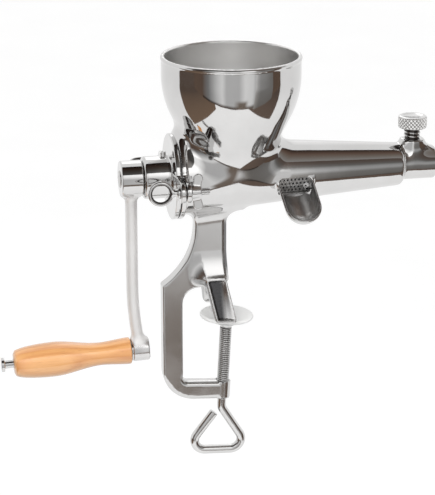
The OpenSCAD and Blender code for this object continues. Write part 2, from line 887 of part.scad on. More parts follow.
// Clamp screw and pad

// Rod along -Z that bends in the XZ plane: each step is [straight length, bend angle].
// The bends are a hair thicker, so each straight ends inside its bends.
module bent_rod(steps, i = 0) {
    length = steps[i][0];
    angle = steps[i][1];
    way = angle > 0 ? 1 : -1;
    translate([0, 0, -length - (angle == 0 ? 0 : weld)])
        cylinder(h = length + weld + (angle == 0 ? 0 : weld), r = rod_r);
    if (angle != 0) translate([way * loop_bend, 0, -length]) {
        rotate([90, 0, 0]) rotate(way > 0 ? 180 : -abs(angle)) rotate_extrude(angle = abs(angle))
            translate([loop_bend, 0]) circle(rod_r + slip_fit);
        rotate([0, -angle, 0]) translate([-way * loop_bend, 0, 0]) bent_rod(steps, i + 1);
    }
}

module clamp_screw() {
    thread_end = arm_under - side_gap;
    turn = 90 + loop_out;
    color(bright_steel) clamp_axis() {
        translate([0, 0, ball_at]) sphere(ball_r);
        translate([0, 0, thread_end]) cylinder(h = ball_at - thread_end, r = screw_r);
        translate([0, 0, thread_end])
            bent_rod([[loop_neck, loop_out], [loop_limb, -turn], [loop_bottom, -turn], [loop_return, 0]]);
    }
}

module clamp_pad() {
    color(pad_white) clamp_axis() difference() {
        union() {
            translate([0, 0, pad_top - pad_t]) chamfered(pad_r, pad_t);
            translate([0, 0, socket_floor])
                cylinder(h = socket_h + weld, r1 = socket_r - weld, r2 = socket_r);
        }
        translate([0, 0, ball_at]) sphere(ball_r + run_fit);
        translate([0, 0, socket_floor - cut])
            cylinder(h = ball_at - socket_floor + cut, r = screw_r + side_gap);
    }
}

hopper();
barrel();
juice_spout();
nozzle_collar();
clamp_frame();
rear_cover();
cover_gasket();
bearing_bush();
shaft_seal();
thrust_washer();
auger();
strainer();
pulp_nozzle();
thumb_screw();
eye_bolt(-1, 0);  // eye_bolt_near
eye_bolt(1, 90);  // eye_bolt_far
wing_nut(-1);  // wing_nut_near
wing_nut(1);  // wing_nut_far
crank_arm();
crank_set_screw();
handle_bolt();
handle_washer();
handle_grip();
clamp_screw();
clamp_pad();
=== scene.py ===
"""Looks of the screw fruit press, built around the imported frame."""
import math

import bpy
import numpy as np
import openvdb
from mathutils import Matrix, Vector


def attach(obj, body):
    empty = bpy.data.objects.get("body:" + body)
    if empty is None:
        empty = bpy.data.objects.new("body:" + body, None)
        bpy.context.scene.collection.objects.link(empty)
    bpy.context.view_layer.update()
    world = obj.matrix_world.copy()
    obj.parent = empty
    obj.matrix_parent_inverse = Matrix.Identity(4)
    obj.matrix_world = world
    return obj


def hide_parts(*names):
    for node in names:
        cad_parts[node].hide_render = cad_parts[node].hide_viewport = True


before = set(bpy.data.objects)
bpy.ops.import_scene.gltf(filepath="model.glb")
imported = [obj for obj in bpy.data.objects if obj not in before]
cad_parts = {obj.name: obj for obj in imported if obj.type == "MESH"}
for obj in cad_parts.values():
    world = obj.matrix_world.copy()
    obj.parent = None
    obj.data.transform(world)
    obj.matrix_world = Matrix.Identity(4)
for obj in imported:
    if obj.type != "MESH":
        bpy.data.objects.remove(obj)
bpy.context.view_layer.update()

MM = 0.001

# Sizes in millimetres. S runs along the barrel from the hopper axis, W up from the barrel axis.

HOPPER_X, AXIS_Z = 3.0, 107.0
HOPPER_R, HOPPER_H, HOPPER_STRAIGHT, HOPPER_WALL = 50.0, 87.0, 14.0, 2.6
BULGE_R, FUNNEL_ANGLE = 66.0, math.radians(27)
BULGE_TOP, BULGE_CENTRE = HOPPER_H - HOPPER_STRAIGHT, HOPPER_R - BULGE_R
RIM_BEAD, THROAT_R, BOWL_FLOOR = 1.8, 17.0, 10.0

SEAL_FACE, BARREL_FRONT = -41.0, 127.0
BARREL_REAR_R, BARREL_FRONT_R, BARREL_WALL, FRONT_WALL = 28.6, 15.6, 3.2, 3.0
TAPER = (BARREL_REAR_R - BARREL_FRONT_R) / (BARREL_FRONT - SEAL_FACE)
FLANGE_R, PLATE_T, EAR_OFF, EAR_R, EYE_HOLE_R = 31.0, 3.6, 42.0, 7.5, 2.55
COLLAR_R, COLLAR_BACK, COLLAR_FRONT = 11.8, 120.0, 151.6
BOSS_AT, BOSS_R, BOSS_H, RIB_T, RIB_SPREAD = 135.3, 8.2, 18.5, 11.0, 18.5
NOZZLE_R, NOZZLE_LIP_R, NOZZLE_LIP_LEN, NOZZLE_BORE = 8.6, 5.8, 3.0, 4.0

WINDOW_OFF, WINDOW_LEN, WINDOW_TOP, WINDOW_LOW = 30.5, 24.0, -0.8, -12.8
SPOUT_R, SPOUT_WALL, SPOUT_LEN = 12.0, 1.5, 21.0
SPOUT_SLOPE, SPOUT_SKEW = math.radians(42), math.radians(6)

COVER_BACK, BEARING_BACK, BEARING_R, BUSH_R = -45.2, -64.8, 15.4, 8.56
LUG_R, LUG_H, LUG_HOLE_R = 2.3, 3.4, 0.8
LUG_AT = COVER_BACK - 2 * LUG_R
SHAFT_R, CORE_R, DISC_R, DISC_T = 6.0, 8.2, 20.0, 2.5
AUGER_BACK, AUGER_FRONT, FLIGHT_PITCH, FLIGHT_T, FLIGHT_ROOM = -39.4, 123.3, 26.0, 3.0, 4.75

HUB_FRONT, HUB_BACK, HUB_R, SET_SCREW_R = -65.3, -80.9, 13.1, 2.5
ARM_AT, ARM_R, ARM_STRAIGHT, ARM_BEND = -73.1, 4.3, 80.0, math.radians(12)
CRANK_LEN, CRANK_BOSS_R, CRANK_BOSS_LEN = 131.0, 8.4, 12.0
HANDLE_DROOP, BOLT_R, BOLT_HEAD_AT, BOLT_HEAD_R, BOLT_HEAD_T = math.radians(2.5), 3.0, 100.15, 5.3, 2.55
WASHER_BORE, WASHER_R, WASHER_T = 3.05, 7.8, 1.2
GRIP_START, GRIP_LEN, WAIST_AT, BELLY_AT = 7.55, 86.0, 0.26, 0.66
GRIP_IN_R, GRIP_WAIST_R, GRIP_BELLY_R, GRIP_OUT_R = 9.9, 8.4, 12.7, 8.0

FRAME_T, COLUMN_BACK, COLUMN_W = 11.5, 0.6, 24.0
SWEEP_R, SWEEP_Z, REACH, SPINE_W = 53.4, 70.0, 33.8, 14.8
ARCH_H, ARCH_R, OPENING, ARM_H, HEEL_R, CROTCH_R, FILLET_R = 22.8, 12.0, 53.0, 14.0, 24.0, 4.3, 11.0
CLAMP_LEAN = math.radians(3)
LEG_W, LEG_H, LEG_LEAN, LEG_TOP = 15.5, 33.4, math.radians(10.5), 12.55
FOOT_BACK, FOOT_IN, FOOT_T, FOOT_EDGE = 4.9, 20.2, 8.0, 5.0
LEG_SPREAD = (FOOT_IN + FOOT_T - LEG_TOP) / LEG_H
LEG_FLARE, LEG_FLARE_H, POCKET_D, POCKET_HEAD, POCKET_FOOT = 6.5, 17.5, 3.2, 3.0, 3.6

EYE_R, EYE_WIRE, EYE_AT, EYE_BOLT_R = 9.2, 1.55, -58.5, 2.5
EYE_TIP_AT, EYE_TIP_R = COVER_BACK - 6.2, 0.8
EYE_COLLAR_R, EYE_COLLAR_T, EYE_NECK, EYE_NECK_R, EYE_NECK_SLOPE = 4.4, 1.6, 4.0, 3.2, 0.35
EAR_FRONT, BOLT_END, EYE_THREAD, EYE_PITCH = SEAL_FACE + PLATE_T, -24.15, 0.35, 0.8
NUT_R, NUT_LEN, NUT_TAPER = 4.5, 6.8, 0.14
WING_SPAN, WING_TIP_R, WING_T, WING_AT, WING_RISE, WING_R, WING_FLARE = 26.0, 3.9, 2.0, 3.6, 1.3, 2.9, 0.6

SCREW_R, SCREW_THREAD, SCREW_PITCH, SCREW_TOP = 4.5, 0.95, 1.5, -10.0
PAD_R, PAD_TOP, PAD_UNDER, SOCKET_R, SOCKET_LOW, BALL_R, BALL_AT = 19.8, -0.4, -3.2, 7.4, -8.6, 5.5, -7.16
# The screw's handle: straight lengths of the rod, with the bend in degrees that follows each
ROD_R, ROD_BEND, ROD_STEPS = 3.4, 8.0, [(5.5, 34.5), (24.0, -124.5), (19.5, -124.5), (21.0, 0)]
THUMB_R, THUMB_NECK, THUMB_NECK_R, THUMB_HEAD_R, THUMB_HEAD_T = 5.0, 8.4, 6.0, 10.5, 9.0
THUMB_THREAD, THUMB_PITCH, NECK_PITCH = 0.7, 1.5, 2.7

# Gaps: between faces, round what turns or slides, round what is fixed, and round the clamp screw
FACE_GAP, RUNNING_FIT, TIGHT_FIT, SCREW_ROOM = 0.35, 0.06, 0.03, 0.1
# Fillets of the welds: bowl, column, collar's boss, flange and collar, ears, legs
BOWL_WELD, COLUMN_WELD, BOSS_WELD, FLANGE_WELD, EAR_WELD, LEG_WELD = 13.0, 10.0, 4.5, 1.6, 2.0, 1.0

# Boxes round the shapes that are worked out only near them
BOSS_BOX = (HOPPER_X + 100, -9, AXIS_Z), (HOPPER_X + COLLAR_FRONT, 9, AXIS_Z + 21)
CLAMP_BOX = (-49, -13, -68), (11, 13, AXIS_Z)
LEGS_BOX = (-22, -31, 0), (5, 31, LEG_H)


# Distance fields: arrays of distances from a surface, negative inside the metal

FAR = 40.0
BLEND_REACH = 14.0


def union(a, b, k):
    """Both shapes, with a fillet of about k where they meet."""
    overlap = np.maximum(k - np.abs(a - b), 0.0)
    return np.minimum(a, b) - overlap * overlap / (4 * k)


def without(a, b, k):
    """Shape a with b cut out and the cut's edge rounded by about k."""
    return -union(-a, b, k)


def both(a, b, k):
    """What two shapes share, with a rounded edge."""
    return -union(-a, -b, k)


def drilled(body, *cuts):
    """A shape with several cuts, each with the rounding of its edge."""
    for cut, edge in cuts:
        body = without(body, cut, edge)
    return body


def plate(outline, across, half, edge):
    """A flat outline made 2 * half thick, its edges rounded."""
    u = outline + edge
    v = np.abs(across) - half + edge
    return np.minimum(np.maximum(u, v), 0.0) + np.hypot(np.maximum(u, 0.0), np.maximum(v, 0.0)) - edge


def solid(outline, along, start, end, edge):
    """An outline made solid from start to end, its edges rounded."""
    return plate(outline, along - (start + end) / 2, (end - start) / 2, edge)


def polygon(u, v, corners):
    """Signed distance from a closed outline in a plane."""
    nearest = np.full(u.shape, np.inf)
    inside = np.zeros(u.shape, bool)
    for (au, av), (bu, bv) in zip(corners, corners[1:] + corners[:1]):
        du, dv = bu - au, bv - av
        along = np.clip(((u - au) * du + (v - av) * dv) / (du * du + dv * dv), 0.0, 1.0)
        nearest = np.minimum(nearest, np.hypot(u - au - along * du, v - av - along * dv))
        if dv:
            inside ^= ((av > v) != (bv > v)) & (u < au + du * (v - av) / dv)
    return np.where(inside, -nearest, nearest)


def arc(centre, radius, start, end, steps=14):
    """Points along an arc, angles in degrees."""
    angles = np.radians(np.linspace(start, end, steps))
    return [(centre[0] + radius * math.cos(a), centre[1] + radius * math.sin(a)) for a in angles]


def near(points, box, distance):
    """A distance that is worked out only round its box, and far elsewhere."""
    low, high = np.array(box)
    found = np.full(len(points), FAR)
    close = np.all((points > low - BLEND_REACH) & (points < high + BLEND_REACH), axis=1)
    found[close] = distance(*points[close].T)
    return found


def grows(value, start, run):
    """Zero up to start, then rising to one over the run."""
    return np.clip((value - start) / run, 0, 1)


def falls(value, end, run):
    """One, falling to zero over the run before the end."""
    return np.clip((end - value) / run, 0, 1)


def barrel_place(points):
    """Place along the barrel, across it and up from its axis, and distance from the axis."""
    x, y, z = points.T
    return x - HOPPER_X, y, z - AXIS_Z, np.hypot(y, z - AXIS_Z)


def barrel_radius(s):
    return BARREL_REAR_R - TAPER * (s - SEAL_FACE)


def bowl_outside(r, w):
    """Bowl's outer face: straight wall, curved wall, funnel."""
    below = np.arctan2(BULGE_TOP - w, r - BULGE_CENTRE)
    straight = r - HOPPER_R
    curved = np.hypot(r - BULGE_CENTRE, w - BULGE_TOP) - BULGE_R
    funnel = (r - BULGE_CENTRE) * math.cos(FUNNEL_ANGLE) + (BULGE_TOP - w) * math.sin(FUNNEL_ANGLE) - BULGE_R
    return np.where(below <= 0, straight, np.where(below < FUNNEL_ANGLE, curved, funnel))


def eared_disc(s, y, w, back, edge):
    """Disc with an ear on each side."""
    disc = solid(np.hypot(y, w) - FLANGE_R, s, back, back + PLATE_T, edge)
    stadium = np.hypot(np.maximum(np.abs(y) - EAR_OFF, 0.0), w) - EAR_R
    return union(disc, solid(stadium, s, back, back + PLATE_T, edge), EAR_WELD)


def ear_holes(y, w):
    return np.hypot(np.abs(y) - EAR_OFF, w) - EYE_HOLE_R


def thumb_boss(x, y, z):
    """Boss of the thumb screw with its sloping ribs."""
    s, w = x - HOPPER_X - BOSS_AT, z - AXIS_Z
    post = solid(np.hypot(s, y) - BOSS_R, w, 0, BOSS_H, 0.9)
    front_step, top_step, inset = 0.6, 1.2, 1.0
    front, top = COLLAR_FRONT - BOSS_AT - front_step, BOSS_H - top_step
    ribs = polygon(s, w, [(-BOSS_R - RIB_SPREAD, 0), (inset - BOSS_R, top), (BOSS_R - inset, top),
                          (front, COLLAR_R - inset), (front, 0)])
    return union(post, plate(ribs, y, RIB_T / 2, 2.4), 5.0)


def spout_axes():
    """Directions across, up from and along the spout, and its root."""
    tilt = math.pi / 2 + SPOUT_SLOPE
    turn = np.array(Matrix.Rotation(tilt, 3, "X") @ Matrix.Rotation(SPOUT_SKEW, 3, "Y"))
    at = WINDOW_OFF + WINDOW_LEN / 2
    root = np.array([HOPPER_X + at, -barrel_radius(at), AXIS_Z + WINDOW_TOP - SPOUT_WALL])
    return turn.T, root


SPOUT_TURN, SPOUT_ROOT = spout_axes()


def spout_place(points):
    """Place up from the spout's middle line and along it, and distance from the line or its end."""
    across, up, along = SPOUT_TURN @ (points - SPOUT_ROOT).T
    return up, along, np.sqrt(across ** 2 + up ** 2 + np.maximum(along - SPOUT_LEN, 0.0) ** 2)


def spout(points):
    """Half tube with a round end, open upwards."""
    up, along, radius = spout_place(points)
    shell = np.abs(radius - SPOUT_R - SPOUT_WALL / 2) - SPOUT_WALL / 2
    return both(both(shell, up, 1.0), -SPOUT_R - along, 1.0)


def frame_corners():
    """Side outline of the column, spine and lower arm, from the barrel down the front."""
    front, left = -COLUMN_BACK, -COLUMN_BACK - COLUMN_W
    spine_out = -REACH - SPINE_W
    under = AXIS_Z - barrel_radius(-HOPPER_X)
    lean = math.tan(CLAMP_LEAN)
    arm_top = -OPENING / math.cos(CLAMP_LEAN)
    arm_low = -(OPENING + ARM_H) / math.cos(CLAMP_LEAN)
    sweep_x = left - SWEEP_R
    sweep_start = math.degrees(math.asin((spine_out - sweep_x) / SWEEP_R)) - 90
    heel_z = arm_low - (spine_out + HEEL_R) * lean + HEEL_R
    crotch_z = arm_top + REACH * lean + CROTCH_R
    return ([(front + FILLET_R, AXIS_Z)]
            + arc((front + FILLET_R, under - FILLET_R), FILLET_R, 90, 180)
            + [(front, ARCH_H)]
            + arc((ARCH_R - REACH, ARCH_H - ARCH_R), ARCH_R, 90, 180)
            + arc((CROTCH_R - REACH, crotch_z), CROTCH_R, 180, 267, 8)
            + [(arm_top * math.sin(CLAMP_LEAN), arm_top), (arm_low * math.sin(CLAMP_LEAN), arm_low)]
            + arc((spine_out + HEEL_R, heel_z), HEEL_R, 267, 180)
            + arc((sweep_x, SWEEP_Z), SWEEP_R, sweep_start, 0, 24)
            + [(left, AXIS_Z)])


FRAME_CORNERS = frame_corners()


def clamp_place(x, z):
    """Distance across and along the leaning clamp screw."""
    return (x * math.cos(CLAMP_LEAN) - z * math.sin(CLAMP_LEAN),
            x * math.sin(CLAMP_LEAN) + z * math.cos(CLAMP_LEAN))


def leg_across(x, z):
    return (x + FOOT_BACK) * math.cos(LEG_LEAN) + z * math.sin(LEG_LEAN)


def leg_flare(x, z):
    """How far the column's faces curve out to run into the legs."""
    most, bend = 1.15, 1.5
    rise = np.clip((LEG_H + LEG_FLARE_H - z) / LEG_FLARE_H, 0, most) ** bend
    left = grows(leg_across(x, z), -LEG_W / 2 - 12, 13) ** 2
    low = grows(z, ARCH_H + 1, 7)
    return LEG_FLARE * rise * left * low * low * (3 - 2 * low)


def clamp_plate(x, y, z):
    """Column, spine and lower arm with the screw's boss; the edges are rounder in front and on the arm."""
    plain, front, arm = 1.2, 2.8, 2.4
    in_front = grows(x, -COLUMN_BACK - 9, 4) * grows(z, ARCH_H, 8)
    edge = plain + grows(z, LEG_H, 10) + front * in_front + arm * falls(z, 9 - OPENING, 8)
    side = plate(polygon(x, z, FRAME_CORNERS), y, FRAME_T / 2 + leg_flare(x, z), edge)
    across, along = clamp_place(x, z)
    boss = solid(np.hypot(across, y) - FRAME_T / 2, along, -OPENING - ARM_H, -OPENING, 0.9)
    return union(side, boss, 1.0)


def leg_place(x, y, z):
    """Distance across a jaw leg, up it and out from its sloping outer face."""
    up = z * math.cos(LEG_LEAN) - (x + FOOT_BACK) * math.sin(LEG_LEAN)
    out = (np.abs(y) - LEG_TOP - LEG_SPREAD * (LEG_H - up)) * math.cos(math.atan(LEG_SPREAD))
    return leg_across(x, z), up, out


def leg_pocket(x, y, z):
    """Hollow in a leg's outer face: a steep wall on the left and a flank that widens to the foot."""
    across, _, out = leg_place(x, y, z)
    inward = -out
    rise = grows(z, POCKET_FOOT, LEG_H - POCKET_HEAD - POCKET_FOOT)
    right_rim, left_rim, left_floor = 0.46 * LEG_W, -0.38 * LEG_W, -0.30 * LEG_W
    right_floor = (0.39 * rise - 0.15) * LEG_W
    run, wall, head_slope = right_rim - right_floor, left_floor - left_rim, 0.3
    right = (inward * run - (right_rim - across) * POCKET_D) / np.hypot(run, POCKET_D)
    left = ((left_rim - across) * POCKET_D + inward * wall) / math.hypot(wall, POCKET_D)
    ends = np.maximum(z - LEG_H + POCKET_HEAD + head_slope * inward, POCKET_FOOT - z)
    return both(both(inward - POCKET_D, right, 0.8), both(left, ends, 0.8), 0.8)


def jaw_legs(x, y, z):
    """Both legs: they lean back as they rise, spread to their feet and have a hollow outer face."""
    across, up, _ = leg_place(x, y, z)
    extra, overlap, top_step = FOOT_BACK, 2.0, 0.8
    profile = [(0, LEG_H + extra), (LEG_TOP - LEG_SPREAD * extra, LEG_H + extra),
               (FOOT_IN + FOOT_T + LEG_SPREAD * extra, -extra), (FOOT_IN, -extra), (FOOT_IN, FOOT_BACK),
               (FRAME_T / 2 - overlap, ARCH_H), (0, ARCH_H)]
    slab = plate(polygon(np.abs(y), up, profile), across, LEG_W / 2, 1.8)
    slab = both(both(slab, z - LEG_H + top_step, 1.6), -z, FOOT_EDGE)
    return without(slab, leg_pocket(x, y, z), 1.0)


def clamp_and_legs(x, y, z):
    return np.minimum(clamp_plate(x, y, z), jaw_legs(x, y, z))


def juice_window(s, y, w):
    """Window through the barrel's near wall."""
    across = np.abs(s - WINDOW_OFF - WINDOW_LEN / 2) - WINDOW_LEN / 2
    window = solid(across, w, WINDOW_LOW, WINDOW_TOP, 2.0)
    return np.maximum(np.maximum(window, y), -barrel_radius(s) - 1.0 - y)


def welded_spout(points):
    """Spout with the fillet of its weld, which runs out on the barrel."""
    s, y, w, q = barrel_place(points)
    fillet, sunk, bed = 2.6, 0.03, 0.4
    tube = q - barrel_radius(s)
    scoop = spout(points)
    body = np.maximum(union(scoop, tube, fillet) + sunk, -tube - bed)
    body = np.maximum(body, scoop - fillet)
    return without(body, juice_window(s, y, w), 0.5)


def casting(points):
    """Hopper, barrel and clamp frame, welded and polished into one."""
    s, y, w, q = barrel_place(points)
    r = np.hypot(s, y)
    outside = bowl_outside(r, w)
    below_rim = w - HOPPER_H + RIM_BEAD
    bead = np.hypot(r - HOPPER_R + HOPPER_WALL / 2, below_rim) - RIM_BEAD
    bowl = union(both(np.maximum(outside, -w), below_rim, 0.4), bead, 0.5)
    tube_r, slant = barrel_radius(s), math.cos(math.atan(TAPER))
    tube = both(both((q - tube_r) * slant, s - BARREL_FRONT, 4.0), SEAL_FACE - s, 0.4)
    flange = eared_disc(s, y, w, SEAL_FACE, 0.7)
    collar = solid(q - COLLAR_R, s, COLLAR_BACK, COLLAR_FRONT, 0.8)
    collar = union(collar, near(points, BOSS_BOX, thumb_boss), BOSS_WELD)
    tube = union(union(tube, flange, FLANGE_WELD), collar, FLANGE_WELD)
    clamp = union(near(points, CLAMP_BOX, clamp_plate), near(points, LEGS_BOX, jaw_legs), LEG_WELD)
    body = union(union(tube, bowl, BOWL_WELD), clamp, COLUMN_WELD)

    throat = np.maximum(r - THROAT_R, np.maximum(-w, w - HOPPER_H / 2))
    hollow = np.minimum(np.maximum(outside + HOPPER_WALL, BOWL_FLOOR - w), throat)
    inner_front = BARREL_FRONT - FRONT_WALL
    bore = np.maximum((q - tube_r + BARREL_WALL) * slant, s - inner_front)
    nozzle_hole = np.maximum(q - NOZZLE_R - RUNNING_FIT, inner_front - 1 - s)
    thumb_hole = np.maximum(np.hypot(s - BOSS_AT, y) - THUMB_R - RUNNING_FIT, -w)
    across, along = clamp_place(points[:, 0], points[:, 2])
    screw_hole = np.maximum(np.hypot(across, y) - SCREW_R - SCREW_ROOM, along + OPENING / 2)
    bolt_holes = np.maximum(ear_holes(y, w), np.abs(s - SEAL_FACE) - 3 * PLATE_T)
    return drilled(body, (hollow, 0.8), (bore, 0.6), (juice_window(s, y, w), 0.8), (nozzle_hole, 0.6),
                   (thumb_hole, 0.6), (screw_hole, 0.5), (bolt_holes, 0.3))


def rear_cover(points):
    """Disc with two ears, bearing boss and oil lug."""
    s, y, w, q = barrel_place(points)
    disc = eared_disc(s, y, w, COVER_BACK, 0.8)
    boss = solid(q - BEARING_R, s, BEARING_BACK, COVER_BACK + 2, 2.0)
    off_lug = np.hypot(s - LUG_AT, y)
    lug = plate(off_lug - LUG_R, w - BEARING_R, LUG_H, 0.6)
    oil_hole = np.maximum(off_lug - LUG_HOLE_R, BUSH_R + 2 - w)
    return drilled(union(union(disc, boss, FLANGE_WELD), lug, 1.2),
                   (oil_hole, 0.4), (q - BUSH_R, 0.6), (ear_holes(y, w), 0.4))


HANDLE_ROOT = np.array([HOPPER_X + ARM_AT + (CRANK_LEN - ARM_STRAIGHT) * math.tan(ARM_BEND / 2), 0.0,
                        AXIS_Z - CRANK_LEN])
HANDLE_WAY = np.array([-math.cos(HANDLE_DROOP), 0.0, -math.sin(HANDLE_DROOP)])


def handle_place(points):
    """Distance along the handle from the middle of the crank's boss, and away from its axis."""
    rel = points - HANDLE_ROOT
    along = rel @ HANDLE_WAY
    return along, np.linalg.norm(rel - along[:, None] * HANDLE_WAY, axis=1)


def crank_arm(points):
    """Hub, slightly bent round arm and the handle bolt's boss."""
    s, y, w, q = barrel_place(points)
    off = s - ARM_AT
    hub = solid(q - HUB_R, s, HUB_BACK, HUB_FRONT, 1.0)
    bend_r = (CRANK_LEN - ARM_STRAIGHT) / math.sin(ARM_BEND)
    bent = bend_r - np.hypot(off - bend_r, np.minimum(w + ARM_STRAIGHT, 0.0))
    across = np.where(w > -ARM_STRAIGHT, off, bent)
    rod = np.maximum(np.hypot(across, y) - ARM_R, np.maximum(w, -CRANK_LEN - w))
    along, away = handle_place(points)
    boss = plate(away - CRANK_BOSS_R, along, CRANK_BOSS_LEN / 2, 1.0)
    socket = np.maximum(np.hypot(off, w) - SET_SCREW_R - TIGHT_FIT, SHAFT_R - y)
    return drilled(union(union(rod, hub, 5.0), boss, 6.0), (q - SHAFT_R - TIGHT_FIT, 0.7),
                   (away - BOLT_R - TIGHT_FIT, 0.7), (socket, 0.5))


def auger(points):
    """Shaft, rear disc, core and tapering flight."""
    s, y, w, q = barrel_place(points)
    shaft = solid(q - SHAFT_R, s, HUB_BACK + FACE_GAP - 1, AUGER_BACK + 1, 0.6)
    core = solid(q - CORE_R, s, AUGER_BACK, AUGER_FRONT, 0.8)
    disc = solid(q - DISC_R, s, AUGER_BACK, AUGER_BACK + DISC_T, 0.6)
    start, end = AUGER_BACK + DISC_T / 2, AUGER_FRONT - FLIGHT_T
    turn = np.arctan2(y, -w)
    wound = (s - start - FLIGHT_T / 2 - FLIGHT_PITCH * turn / (2 * math.pi)) / FLIGHT_PITCH
    sheet = np.abs(wound - np.round(wound)) * FLIGHT_PITCH
    lean = np.cos(np.arctan2(FLIGHT_PITCH, 2 * math.pi * np.maximum(q, CORE_R)))
    flight = plate(q - barrel_radius(s) + FLIGHT_ROOM, sheet * lean, FLIGHT_T / 2, 0.7)
    flight = np.maximum(flight, np.maximum(start - s, s - end))
    return union(union(union(shaft, core, 0.8), disc, 1.5), flight, 2.0)


def eye_drop(points, side, upright):
    """Distance from the drop-shaped centre line of an eye bolt's wire, in its plane and across it."""
    s, y, w, _ = barrel_place(points)
    along, off = s - EYE_AT, y - side * EAR_OFF
    wide, thin = (np.abs(w), off) if upright else (np.abs(off), w)
    ring_r, length = EYE_R - EYE_WIRE, EYE_TIP_AT - EYE_AT
    lean = (ring_r - EYE_TIP_R) / length
    slant = math.sqrt(1 - lean * lean)
    place = slant * along - lean * wide
    ring = np.hypot(wide, along) - ring_r
    tip = np.hypot(wide, along - length) - EYE_TIP_R
    flank = slant * wide + lean * along - ring_r
    return np.where(place < 0, ring, np.where(place > slant * length, tip, flank)), thin


def eye_bolt(points, side, upright):
    """A teardrop of wire, a collar with a bell-shaped neck and a stem."""
    s, y, w, _ = barrel_place(points)
    q = np.hypot(y - side * EAR_OFF, w)
    wire = np.hypot(*eye_drop(points, side, upright)) - EYE_WIRE
    collar_back = COVER_BACK - EYE_COLLAR_T
    collar = solid(q - EYE_COLLAR_R, s, collar_back, COVER_BACK, 0.4)
    bell_r = EYE_NECK_R + EYE_NECK_SLOPE * (s - collar_back)
    bell = solid(q - bell_r, s, collar_back - EYE_NECK, collar_back + 1.2, 0.5)
    stem = solid(q - EYE_BOLT_R + 2 * RUNNING_FIT, s, COVER_BACK, EAR_FRONT, 0.2)
    return union(union(wire, union(collar, bell, 0.8), 1.8), stem, 0.4)


def wing_nut(points, side):
    """Cone hub and two flared wings."""
    s, y, w, _ = barrel_place(points)
    along, off = s - EAR_FRONT - FACE_GAP, y - side * EAR_OFF
    q = np.hypot(off, w)
    hub = solid(q - NUT_R + NUT_TAPER * along, along, 0, NUT_LEN, 0.6)
    tip = WING_SPAN / 2 - WING_TIP_R
    reach = grows(np.abs(w), 0, tip) ** 2
    middle, wide = WING_AT + WING_RISE * reach, WING_R + WING_FLARE * reach
    wing = np.hypot(np.maximum(np.abs(w) - tip - WING_TIP_R + wide, 0.0), along - middle) - wide
    wing = plate(wing, off, WING_T / 2, 0.8)
    return without(union(hub, wing, 2.6), q - EYE_BOLT_R - RUNNING_FIT, 0.4)


# Meshes

def surface(distance, low, high, step):
    """Points, quads and normals of a distance field's surface, in millimetres."""
    block = 4
    low, high = np.array(low, float), np.array(high, float)
    count = np.ceil((high - low) / (step * block)).astype(int)
    cells = np.stack(np.meshgrid(*map(np.arange, count), indexing="ij"), axis=-1).reshape(-1, 3)
    middle = (block - 1) / 2
    coarse = distance(low + step * (cells * block + middle)).reshape(count)
    values, close = coarse, np.abs(coarse) < step * (block + 1)
    for axis in range(3):
        values, close = values.repeat(block, axis), close.repeat(block, axis)
    values[close] = distance(low + step * np.argwhere(close))
    volume = openvdb.FloatGrid(FAR)
    volume.copyFromArray(values.astype(np.float32))
    points, quads = volume.convertToQuads(0.0)
    points = low + step * points.astype(float)
    for _ in range(3):
        slope = gradient(distance, points, 0.04)
        steep = np.maximum((slope * slope).sum(axis=1), 0.3)
        move = np.clip(distance(points) / steep, -step / 2, step / 2)
        points -= move[:, None] * slope
    normals = gradient(distance, points, 0.15)
    normals /= np.maximum(np.linalg.norm(normals, axis=1), 1e-6)[:, None]
    return points, quads, normals


def gradient(distance, points, gap):
    """Slope of a distance field by central differences."""
    steps = np.eye(3) * gap
    return np.stack([distance(points + e) - distance(points - e) for e in steps], axis=1) / (2 * gap)


def circle(around):
    """Angles round a circle."""
    return np.linspace(0, 2 * math.pi, around, endpoint=False)


def ring_faces(rows, around, capped=False):
    """Quads between rings of points, and caps on the first and last ring where asked."""
    faces = []
    for row in range(rows - 1):
        for i in range(around):
            j = (i + 1) % around
            first, second = row * around, (row + 1) * around
            faces.append((first + i, first + j, second + j, second + i))
    if capped:
        last = (rows - 1) * around
        faces += [tuple(range(around))[::-1], tuple(range(last, last + around))]
    return faces


def rounded(corners, radius, steps=5):
    """An open outline with its inner corners rounded."""
    result = [corners[0]]
    for before, here, after in zip(corners, corners[1:], corners[2:]):
        a, b, c = map(np.array, (before, here, after))
        ways = [(a - b) / np.linalg.norm(a - b), (c - b) / np.linalg.norm(c - b)]
        cut = min(radius, 0.45 * np.linalg.norm(a - b), 0.45 * np.linalg.norm(c - b))
        for t in np.linspace(0, 1, steps):
            result.append(tuple(b + cut * ((1 - t) ** 2 * ways[0] + t ** 2 * ways[1])))
    return result + [corners[-1]]


def placed(origin, up, side=(0.0, 1.0, 0.0)):
    """A function that maps local points, Z along up, to the frame."""
    z = np.array(up, float) / np.linalg.norm(up)
    y = np.array(side, float) - np.dot(side, z) * z
    y /= np.linalg.norm(y)
    turn = np.stack([np.cross(y, z), y, z])

    def place(points, turn_only=False):
        return points @ turn + (0 if turn_only else np.array(origin, float))
    return place


